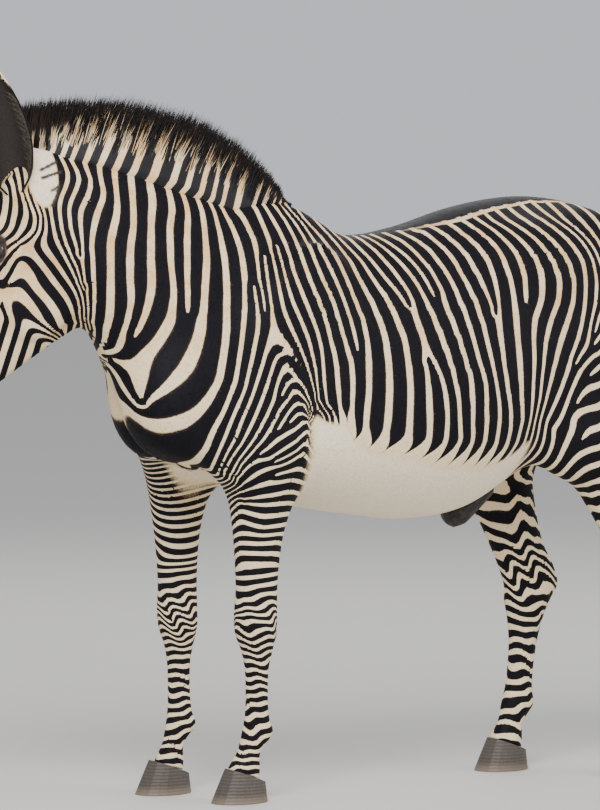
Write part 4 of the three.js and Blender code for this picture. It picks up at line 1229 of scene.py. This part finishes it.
def countSlope(corners, stripe):  # how the stripes' count changes over each triangle
    one, two = corners[:, 1] - corners[:, 0], corners[:, 2] - corners[:, 0]
    count = np.arctan2(stripe[:, :, 1], stripe[:, :, 0]) / (2 * math.pi)
    d = [(count[:, k] - count[:, 0] + 0.5) % 1 - 0.5 for k in (1, 2)]
    a, b, c = (one * one).sum(1), (one * two).sum(1), (two * two).sum(1)
    whole = np.maximum(a * c - b * b, 1e-18)
    return one * ((c * d[0] - b * d[1]) / whole)[:, None] + two * ((a * d[1] - b * d[0]) / whole)[:, None]


def makeCoat():
    random = np.random.default_rng(coat["seed"])
    co, corners = vertexArray(skin.data), skinTriangles()
    stripe, tone = np.empty(len(co) * 3), np.empty(len(co) * 4)
    skin.data.attributes["stripe"].data.foreach_get("vector", stripe)
    skin.data.attributes["tone"].data.foreach_get("color", tone)
    stripe, tone = stripe.reshape(-1, 3), tone.reshape(-1, 4)
    a, b, c = (co[corners[:, i]] for i in range(3))
    cross = np.cross(b - a, c - a)
    area = np.linalg.norm(cross, axis=1) / 2
    middle = toBody((a + b + c) / 3)
    region = regionOf(middle)
    h = headFrame(middle)
    bare = (np.linalg.norm(h - eye["at"], axis=1) < eye["radius"] + 7) & (region == 3)
    bare |= (massDistance(nostrilHole, middle) < 4) & (region == 3)
    bare |= (region == 4) & (middle[:, 2] < 92)
    area[bare] = 0
    shape = lockShape(3)
    for k, (name, many) in enumerate(coat["pieces"].items()):
        weight = np.cumsum(area * (region == k))
        pick = np.minimum(np.searchsorted(weight, random.random(many) * weight[-1]), len(area) - 1)
        share = np.sort(random.random((many, 2)), axis=1)
        share = np.stack([share[:, 0], share[:, 1] - share[:, 0], 1 - share[:, 1]], 1)[:, :, None]
        roots = (co[corners[pick]] * share).sum(1)
        marks = (stripe[corners[pick]] * share).sum(1)
        tones = (tone[corners[pick]] * share).sum(1)
        normals = unit(cross[pick])
        p = toBody(roots)
        ways = turnedWays(p, lieOfCoat(p, region[pick]))
        ways = ways + random.normal(0, 0.12, (many, 3))
        ways = unit(ways - normals * (ways * normals).sum(1)[:, None])
        lift = np.radians(coat["lift"]) * random.uniform(0.5, 1.5, many)
        ways = ways * np.cos(lift)[:, None] + normals * np.sin(lift)[:, None]
        face = (region[pick] == 3) * smoothStep(0, 200, headFrame(p)[:, 0])
        leg = 1 - smoothStep(600, 900, p[:, 2])
        sizes = []
        for size in (coat["length"], coat["width"]):
            value = size["body"] + (size["leg"] - size["body"]) * leg
            sizes.append((value + (size["face"] - value) * face) / 1000 * random.uniform(0.75, 1.2, many))
        length, width = sizes
        count = np.arctan2(marks[:, 1], marks[:, 0]) / (2 * math.pi)
        change = countSlope(co[corners[pick]], stripe[corners[pick]])
        tips = count + (change * ways).sum(1) * length * 1.1
        white, whiteTip = (np.abs((v + 0.5) % 1 - 0.5) < marks[:, 2] / 2 for v in (count, tips))
        keep = white == whiteTip  # a tuft that would cross a stripe's edge is left out
        roots, ways, normals, length, width, marks, tones = (
            v[keep] for v in (roots, ways, normals, length, width, marks, tones))
        piece = makeLocks(name, shape, roots - normals * 0.0006, ways, normals, length, width, width * 0.45,
                          -normals * (length * 0.06)[:, None], marks, tones, unwrapped(p, region[pick])[keep],
                          random.random(many)[keep])
        piece.data.materials.append(zebraHair)


makeCoat()
print("coat laid")

mane = {"seed": 11, "locks": 8600, "length": 1.0, "width": 2.6, "core": 0.8}
maneForm = loft(forwardAndUp(28), (-150, 1250), (20, 30), [
    (-10, 150, 278, 26, 0.3), (45, 150, 312, 30, 0.5), (107, 145, 345, 34, 0.6), (172, 135, 370, 36, 0.65),
    (240, 125, 383, 37, 0.65), (310, 115, 386, 37, 0.65), (370, 105, 380, 37, 0.65), (444, 90, 360, 37, 0.65),
    (526, 70, 332, 36, 0.6), (614, 45, 286, 34, 0.6), (698, 20, 226, 32, 0.5), (770, -20, 168, 28, 0.4),
])


def alongNeck(s, up, y):
    x, z = fromAxes(maneForm["axes"], maneForm["origin"], s, up)
    return np.stack([x, y, z], 1)


def crestAt(s, y):  # how high the skin stands under each place of the mane
    heights = np.linspace(330, -60, 80)
    p = alongNeck(np.repeat(s, 80), np.tile(heights, len(s)), np.repeat(y, 80))
    inside = bodyField(p).reshape(-1, 80) < -coatDepth["body"]
    return np.where(inside.any(1), heights[np.argmax(inside, axis=1)], -200.0)


def crestMarks(s, y):
    grid = np.linspace(-20, 790, 271)
    high = np.interp(s, grid, crestAt(grid, np.zeros(271)))
    p = alongNeck(s, high - 2 - 0.012 * y**2, y)
    turn = 2 * math.pi * markings.count(p)
    return np.stack([np.cos(turn), np.sin(turn), markings.width(p) + 0.04], 1), high


def makeMane():
    random = np.random.default_rng(mane["seed"])
    n = mane["locks"]
    s = random.uniform(20, 775, n)
    row = rowAt(maneForm, s)
    y = random.uniform(-0.86, 0.86, n) * row[:, 3]
    up = crestAt(s, y) - 6
    sound = (up > -70) & (s < 742)
    s, y, up, row, n = s[sound], y[sound], up[sound], row[sound], int(sound.sum())
    marks, _ = crestMarks(s, y)
    lean = np.radians(np.interp(s, (0, 300, 600, 770), (0, 4, 13, 28))) + random.normal(0, 0.05, n)
    outward = y * -row[:, 4] * 0.85
    high = np.maximum(row[:, 2] - up, 25)
    uneven = 0.92 + 0.07 * np.sin(s / 4.3) * np.sin(s / 11.7 + y / 9) + random.uniform(-0.12, 0.03, n)
    length = high * uneven * mane["length"] / np.cos(lean) * (0.6 + 0.4 * smoothStep(20, 70, s))
    ways = np.stack([np.sin(lean), np.cos(lean), outward / high + random.normal(0, 0.03, n)], 1)
    (ax, az), (ux, uz) = maneForm["axes"]
    flat = np.stack([ways[:, 0] * ax + ways[:, 1] * ux, ways[:, 2], ways[:, 0] * az + ways[:, 1] * uz], 1)
    p = alongNeck(s, up, y)
    ways = turnedWays(p, flat)
    normals = turnedWays(p, np.tile((0.0, -1.0, 0.0), (n, 1)))
    back = turnedWays(p, np.tile((-ax, 0.0, -az), (n, 1)))
    back = back * (length * random.uniform(0.0, 0.12, n))[:, None] / 1000
    width = mane["width"] / 1000 * random.uniform(0.7, 1.3, n)
    patch = np.stack([(s + 30) / 840, 0.5 + y / 90], 1)
    piece = makeLocks("maneLocks", lockShape(3, (0.3, 0.6, 0.85), 0.7), toScene(p), ways, normals,
                      length / 1000, width, width * 0.6, back, marks, plainTone, patch, random.random(n),
                      0.42 * smoothStep(600, 720, s) + 0.16 * (1 - smoothStep(0, 140, s)))
    piece.data.materials.append(maneHair)


def makeManeCore():  # the dense hair inside, which the locks cover
    core = newObject("maneCore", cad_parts["mane"].data.copy())
    core.data.materials.clear()
    remesh = core.modifiers.new("even faces", "REMESH")
    remesh.mode, remesh.voxel_size = "VOXEL", 0.006
    finished(core)
    p = toBody(vertexArray(core.data))
    s, up = neckFrame(p)
    marks, high = crestMarks(s, p[:, 1])
    middle = rowAt(maneForm, s)
    share = np.clip((up - high) / np.maximum(middle[:, 2] - high, 1), 0, 1)
    up = np.where(up > high, high + (up - high) * mane["core"], up) - 4
    front = smoothStep(640, 800, s)
    place = alongNeck(s - front * (s - 690), up - front * 30,
                      p[:, 1] * (0.86 - 0.15 * share) * (1 - 0.5 * front))
    core.data.vertices.foreach_set("co", toScene(place).ravel())
    hair = np.stack([share * mane["core"], np.full(len(s), 0.5), 0.42 * smoothStep(600, 720, s)], 1)
    paint(core.data, stripe=marks, tone=np.tile(plainTone, (len(s), 1)), hair=hair)
    smoothShaded(core.data)
    core.data.materials.append(maneHair)
    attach(core, "root")
    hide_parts("mane")


makeManeCore()
makeMane()
print("mane made")

tailHair = {"seed": 5, "locks": 4200, "width": 2.4}
tuftForm = loft(upright, (0, 0), (40, 110), [
    (520, 1112, 1152, 16), (600, 1088, 1160, 34), (700, 1082, 1162, 40), (800, 1088, 1154, 34), (860, 1096,
                                                                                                 1144, 25),
])


def makeTail():
    random = np.random.default_rng(tailHair["seed"])
    n = tailHair["locks"]
    z = random.uniform(800, 1060, n)
    row = rowAt(tail, np.maximum(z, 885))
    angle = random.uniform(0, 2 * math.pi, n)
    middle, half = (row[:, 1] + row[:, 2]) / 2, (row[:, 2] - row[:, 1]) / 2
    taper = 0.75 + 0.1 * (z < 900)
    root = np.stack([middle + half * taper * np.cos(angle), row[:, 3] * taper * np.sin(angle), z], 1)
    low = 520 + 190 * random.random(n) ** 1.6 + 0.55 * np.maximum(z - 900, 0)
    mid = rowAt(tuftForm, np.clip(low + 60, 530, 850))
    spread = np.sqrt(random.random(n))
    tip = np.stack([(mid[:, 1] + mid[:, 2]) / 2 + (mid[:, 2] - mid[:, 1]) / 2 * spread * np.cos(angle),
                    mid[:, 3] * spread * np.sin(angle), low], 1)
    bulge = np.stack([np.cos(angle) * 14, np.sin(angle) * 16, np.zeros(n)], 1) * (0.4 + 0.6 * spread)[:, None]
    # A lock bows outwards on its way down: start steeper, then bend back towards its tip.
    ways = tip - root + bulge * 2
    length = np.linalg.norm(ways, axis=1)
    normals = np.stack([np.cos(angle), np.sin(angle), np.zeros(n)], 1)
    width = tailHair["width"] / 1000 * random.uniform(0.7, 1.3, n)
    patch = np.stack([angle / (2 * math.pi), (z - 790) / 290], 1)
    piece = makeLocks("tailLocks", lockShape(3, (0.2, 0.45, 0.7, 0.88), 0.6), toScene(root), ways, normals,
                      length / 1000, width, width * 0.6, -bulge * 2 / 1000, darkStripe, plainTone, patch,
                      random.random(n))
    piece.data.materials.append(maneHair)


def smoothCopy(node, name, voxel, rounds, shrink=1.0):  # a CAD form made smooth and even
    made = newObject(name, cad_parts[node].data.copy())
    made.data.materials.clear()
    remesh = made.modifiers.new("even faces", "REMESH")
    remesh.mode, remesh.voxel_size = "VOXEL", voxel
    finished(made)
    bm = bmesh.new()
    bm.from_mesh(made.data)
    relax(bm, bm.verts, rounds)
    if shrink != 1:
        middle = sum((v.co for v in bm.verts), Vector()) / len(bm.verts)
        bmesh.ops.scale(bm, verts=bm.verts, vec=(shrink, shrink, 1), space=Matrix.Translation(-middle))
    bm.to_mesh(made.data)
    bm.free()
    smoothShaded(made.data)
    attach(made, "root")
    return made


tailCore = smoothCopy("tail_tuft", "tailCore", 0.006, 6, 0.7)
paint(tailCore.data, **{name: np.tile(value, (len(tailCore.data.vertices), 1)) for name, value in (
    ("stripe", darkStripe), ("tone", plainTone), ("hair", (0.9, 0.5, 0.0)))})
tailCore.data.materials.append(maneHair)
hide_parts("tail_tuft")
makeTail()
print("tail made")

sheathSkin = smoothCopy("sheath", "sheathSkin", 0.005, 4)
sheathSkin.data.materials.append(darkSkin)
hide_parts("sheath")
print("sheath made")

ear = {
    "length": 312.0, "wall": 5.0, "root": (-12, 88, 66), "turnOut": 92, "leanOut": 8, "leanForward": 8,
    "seed": 3, "fringe": 700, "inside": 1500, "back": 9000,
}


# a place on the cupped leaf: up it, across it, and through its wall
def earPoint(t, across, side, depth=0.5):
    leaf = np.clip(t, 0, 0.995)
    radius = 7 + 56 * np.sin(math.pi * (0.14 + 0.86 * leaf)) ** 0.7
    radius *= 0.5 + 0.5 * smoothStep(-0.12, 0.16, t)
    edge = np.abs(across)
    a = (1.2 + 1.3 * (1 - np.clip(t, 0, 1)) ** 2) * across
    r = radius - ear["wall"] * (1 - 0.35 * edge) * depth
    rise = t * ear["length"] - 16 * edge**2 * t
    p = np.stack([0.5 * radius - r * np.cos(a), r * np.sin(a), rise], 1)
    x, y, z = headPoint((ear["root"][0], ear["root"][1], side * ear["root"][2]))
    pose = (Matrix.Translation((x, y, z)) @ Matrix.Rotation(-side * math.radians(ear["leanOut"]), 4, "X")
            @ Matrix.Rotation(-math.radians(ear["leanForward"]), 4, "Y")
            @ Matrix.Rotation(side * math.radians(ear["turnOut"]), 4, "Z"))
    pose = np.array(pose)
    return p @ pose[:3, :3].T + pose[:3, 3]


def makeEar(name, side):
    bm = bmesh.new()
    bmesh.ops.create_grid(bm, x_segments=26, y_segments=44, size=1)
    flat = np.array([v.co[:] for v in bm.verts])
    across, t = flat[:, 0], (flat[:, 1] + 1) * 0.56 - 0.12
    moveTo(bm, toScene(earPoint(t, across, side)))
    mesh = meshFrom(bm, name)
    middle, outer = (toScene(earPoint(np.full(2, 0.5), np.zeros(2), side, depth))[0] for depth in (1.0, 0.0))
    piece = newObject(name, mesh)
    paint(mesh, ear=np.stack([t, np.abs(across), across], 1))
    nearest = min(mesh.polygons, key=lambda f: (f.center - Vector(outer)).length)
    if nearest.normal.dot(Vector(outer - middle)) < 0:
        mesh.flip_normals()
    wall = piece.modifiers.new("wall", "SOLIDIFY")
    wall.thickness, wall.offset, wall.material_offset, wall.material_offset_rim = 0.0036, 0.0, 1, 0
    smooth = piece.modifiers.new("smooth", "SUBSURF")
    smooth.levels = smooth.render_levels = 1
    smoothShaded(mesh)
    mesh.materials.append(earBack)
    mesh.materials.append(earInside)
    finished(piece)
    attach(piece, "root")
    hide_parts(name.replace("Skin", ""))


def earFrame(t, across, side):
    step = 0.01
    p = earPoint(t, across, side, 0.0)
    upWay = earPoint(t + step, across, side, 0.0) - p
    acrossWay = earPoint(t, across + step, side, 0.0) - p
    outward = p - earPoint(t, across, side, 1.0)
    return p, unit(upWay), unit(acrossWay), unit(outward)


def makeEarHair(name, side):
    random = np.random.default_rng(ear["seed"])
    n, m, k = ear["back"], ear["inside"], ear["fringe"]
    t = [random.uniform(0.12, 0.985, n), random.uniform(0.08, 0.8, m), random.uniform(0.1, 0.99, k)]
    across = [random.uniform(-0.97, 0.97, n), random.choice((-1, 1), m) * random.uniform(0.55, 0.95, m),
              random.choice((-1, 1), k) * 0.985]
    t, across = np.concatenate(t), np.concatenate(across)
    part = np.concatenate([np.zeros(n), np.ones(m), np.full(k, 2)])
    p, up, over, out = earFrame(t, across, side)
    inside = part == 1
    rim = part == 2
    p = p - out * np.where(inside, 4.4, np.where(rim, 2.2, 1.2))[:, None]
    edgeWay = over * np.sign(across)[:, None]
    ways = up + out * 0.16 + random.normal(0, 0.1, (len(t), 3))
    inward = up * 0.7 - edgeWay * 0.75 - out * 0.35 + random.normal(0, 0.18, (len(t), 3))
    ways = np.where(inside[:, None], inward, ways)
    outward = up * 0.9 + edgeWay * 0.55 + random.normal(0, 0.15, (len(t), 3))
    ways = np.where(rim[:, None], outward, ways)
    length = np.where(inside, random.uniform(16, 38, len(t)) * (1 - 0.35 * t), random.uniform(5, 8, len(t)))
    length = np.where(rim, random.uniform(5, 9, len(t)), length) / 1000
    width = np.where(inside, 1.1, 1.2) / 1000
    normals = np.where(inside[:, None], -out, out)
    marks = np.stack([t, np.abs(across), part], 1)
    patch = np.stack([0.5 + across * 0.22 + np.where(inside, 0.25, -0.25), t], 1)
    bend = turnedWays(p, np.where(inside[:, None], up, -out)) * (length * 0.12)[:, None]
    piece = makeLocks(name, lockShape(3), toScene(p), turnedWays(p, ways), turnedWays(p, normals), length,
                      width, width * 0.5, bend, marks, plainTone, patch, random.random(len(t)))
    piece.data.materials.append(earHair)


for side, word in ((-1, "left"), (1, "right")):
    makeEar("earSkin_" + word, side)
    makeEarHair("earHair_" + word, side)
print("ears made")

lids = {"gap": 1.6, "wall": 2.6, "upper": 0.5, "lower": 0.4, "corner": 0.86, "lashes": 70}


def eyeFrame(side):  # centre and the ways forwards, up and outwards of the near or far eye, in scene metres
    at = np.array([headPoint((eye["at"][0], eye["at"][1], side * eye["at"][2]))])
    (ax, az), (ux, uz) = headAxes
    forward, up = np.array([ax, 0.0, az]), np.array([ux, 0.0, uz])
    tilt = math.radians(-24)  # the opening slopes down towards the nose
    along = forward * math.cos(tilt) - up * math.sin(tilt)
    gaze = np.array([0.0, side, 0.0]) + forward * 0.16 + up * 0.12
    gaze = gaze / np.linalg.norm(gaze)
    along = along - gaze * (along @ gaze)
    along = along / np.linalg.norm(along)
    over = np.cross(along, gaze) * side
    if over @ up < 0:
        over = -over
    ways = turnedWays(np.repeat(at, 3, axis=0), np.array([along, over, gaze]))
    return toScene(at)[0], ways


def ball(radius, side, u=48, v=32):
    centre, (along, over, gaze) = eyeFrame(side)
    bm = bmesh.new()
    bmesh.ops.create_uvsphere(bm, u_segments=u, v_segments=v, radius=1)
    local = np.array([v.co[:] for v in bm.verts])  # its poles look out of the head and into it
    place = centre + radius * (local[:, :1] * along + local[:, 1:2] * over + local[:, 2:] * gaze)
    moveTo(bm, place)
    bmesh.ops.recalc_face_normals(bm, faces=bm.faces)
    return bm, local, centre


def makeEye(word, side):
    bm, local, _ = ball(eye["radius"] / 1000, side)
    piece = newObject("eyeball_" + word, meshFrom(bm, "eyeball_" + word))
    paint(piece.data, gaze=local)
    smoothShaded(piece.data)
    piece.data.materials.append(eyeGloss)
    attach(piece, "root")
    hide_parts("eye_" + word)


def openingAt(x):  # how far the lids stand apart above and below the middle, at places from corner to corner
    shape = np.sqrt(np.maximum(1 - (x / lids["corner"]) ** 2, 0))
    return lids["upper"] * shape**0.9, -lids["lower"] * shape


def makeLids(word, side):
    inner = eye["radius"] + lids["gap"]
    bm, local, centre = ball(inner / 1000, side, 72, 48)
    upper, lower = openingAt(local[:, 0])
    opening = (local[:, 2] > 0) & (local[:, 1] < upper) & (local[:, 1] > lower)
    deep = local[:, 2] < -0.25
    bm.verts.ensure_lookup_table()
    bmesh.ops.delete(bm, geom=[v for v in bm.verts if opening[v.index] or deep[v.index]], context="VERTS")
    relax(bm, [v for v in bm.verts if v.is_boundary], 3)
    piece = newObject("lids_" + word, meshFrom(bm, "lids_" + word))
    wall = piece.modifiers.new("wall", "SOLIDIFY")
    wall.thickness, wall.offset = lids["wall"] / 1000, 1.0
    smooth = piece.modifiers.new("smooth", "SUBSURF")
    smooth.levels = smooth.render_levels = 1
    finished(piece)
    smoothShaded(piece.data)
    piece.data.materials.append(darkSkin)
    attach(piece, "root")


def makeLashes(word, side):
    random = np.random.default_rng(9)
    centre, (along, over, gaze) = eyeFrame(side)
    n = lids["lashes"]
    x = np.linspace(-0.66, 0.74, n) + random.normal(0, 0.01, n)
    upper, _ = openingAt(x)
    local = unit(np.stack([x, upper + 0.03, np.sqrt(np.maximum(1 - x**2 - upper**2, 0.01))], 1))
    out = local[:, :1] * along + local[:, 1:2] * over + local[:, 2:] * gaze
    roots = centre + out * (eye["radius"] + lids["gap"] + lids["wall"] * 0.7) / 1000
    ways = out + gaze * 0.8 - over * 0.35 + along * x[:, None] * 0.3 + random.normal(0, 0.08, (n, 3))
    piece = makeLocks("lashes_" + word, lockShape(3, (0.5,), 0.7), roots, ways, out,
                      random.uniform(0.009, 0.015, n), 0.0009, 0.0007, over * 0.003 + np.zeros((n, 1)),
                      darkStripe, plainTone,
                      np.stack([(x + 1) / 2, np.full(n, 0.5)], 1), random.random(n))
    piece.data.materials.append(maneHair)


for side, word in ((-1, "left"), (1, "right")):
    makeEye(word, side)
    makeLids(word, side)
    makeLashes(word, side)
print("eyes made")

for name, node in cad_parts.items():
    if "hoof" in name:
        for slot in node.material_slots:
            slot.material = hoofHorn
print("hooves finished")

studioLights = {"key": ((-3.5, -5, 6), 4, 700), "fill": ((5, -5, 3), 5, 200), "rim": ((3, 5, 5), 4, 130)}


def makeStudio():  # a pale floor, a pale sky and three soft lamps: place, size in metres and watts
    bm = bmesh.new()
    bmesh.ops.create_grid(bm, x_segments=1, y_segments=1, size=30)
    floor = newObject("floor", meshFrom(bm, "floor"))
    paper = bpy.data.materials.new("paper")
    paper.use_nodes = True
    paper.node_tree.nodes["Principled BSDF"].inputs["Base Color"].default_value = (0.62, 0.6, 0.56, 1)
    paper.node_tree.nodes["Principled BSDF"].inputs["Roughness"].default_value = 0.9
    floor.data.materials.append(paper)
    world = bpy.data.worlds.new("studio")
    world.use_nodes = True
    world.node_tree.nodes["Background"].inputs["Color"].default_value = (0.9, 0.93, 1, 1)
    world.node_tree.nodes["Background"].inputs["Strength"].default_value = 0.7
    scene.world = world
    for name, (place, size, power) in studioLights.items():
        data = bpy.data.lights.new(name, "AREA")
        data.size, data.energy = size, power
        lamp = bpy.data.objects.new(name, data)
        lamp.location = place
        lamp.rotation_euler = (Vector(place) - Vector((0, 0, 1))).to_track_quat("Z", "Y").to_euler()
        scene.collection.objects.link(lamp)


makeStudio()
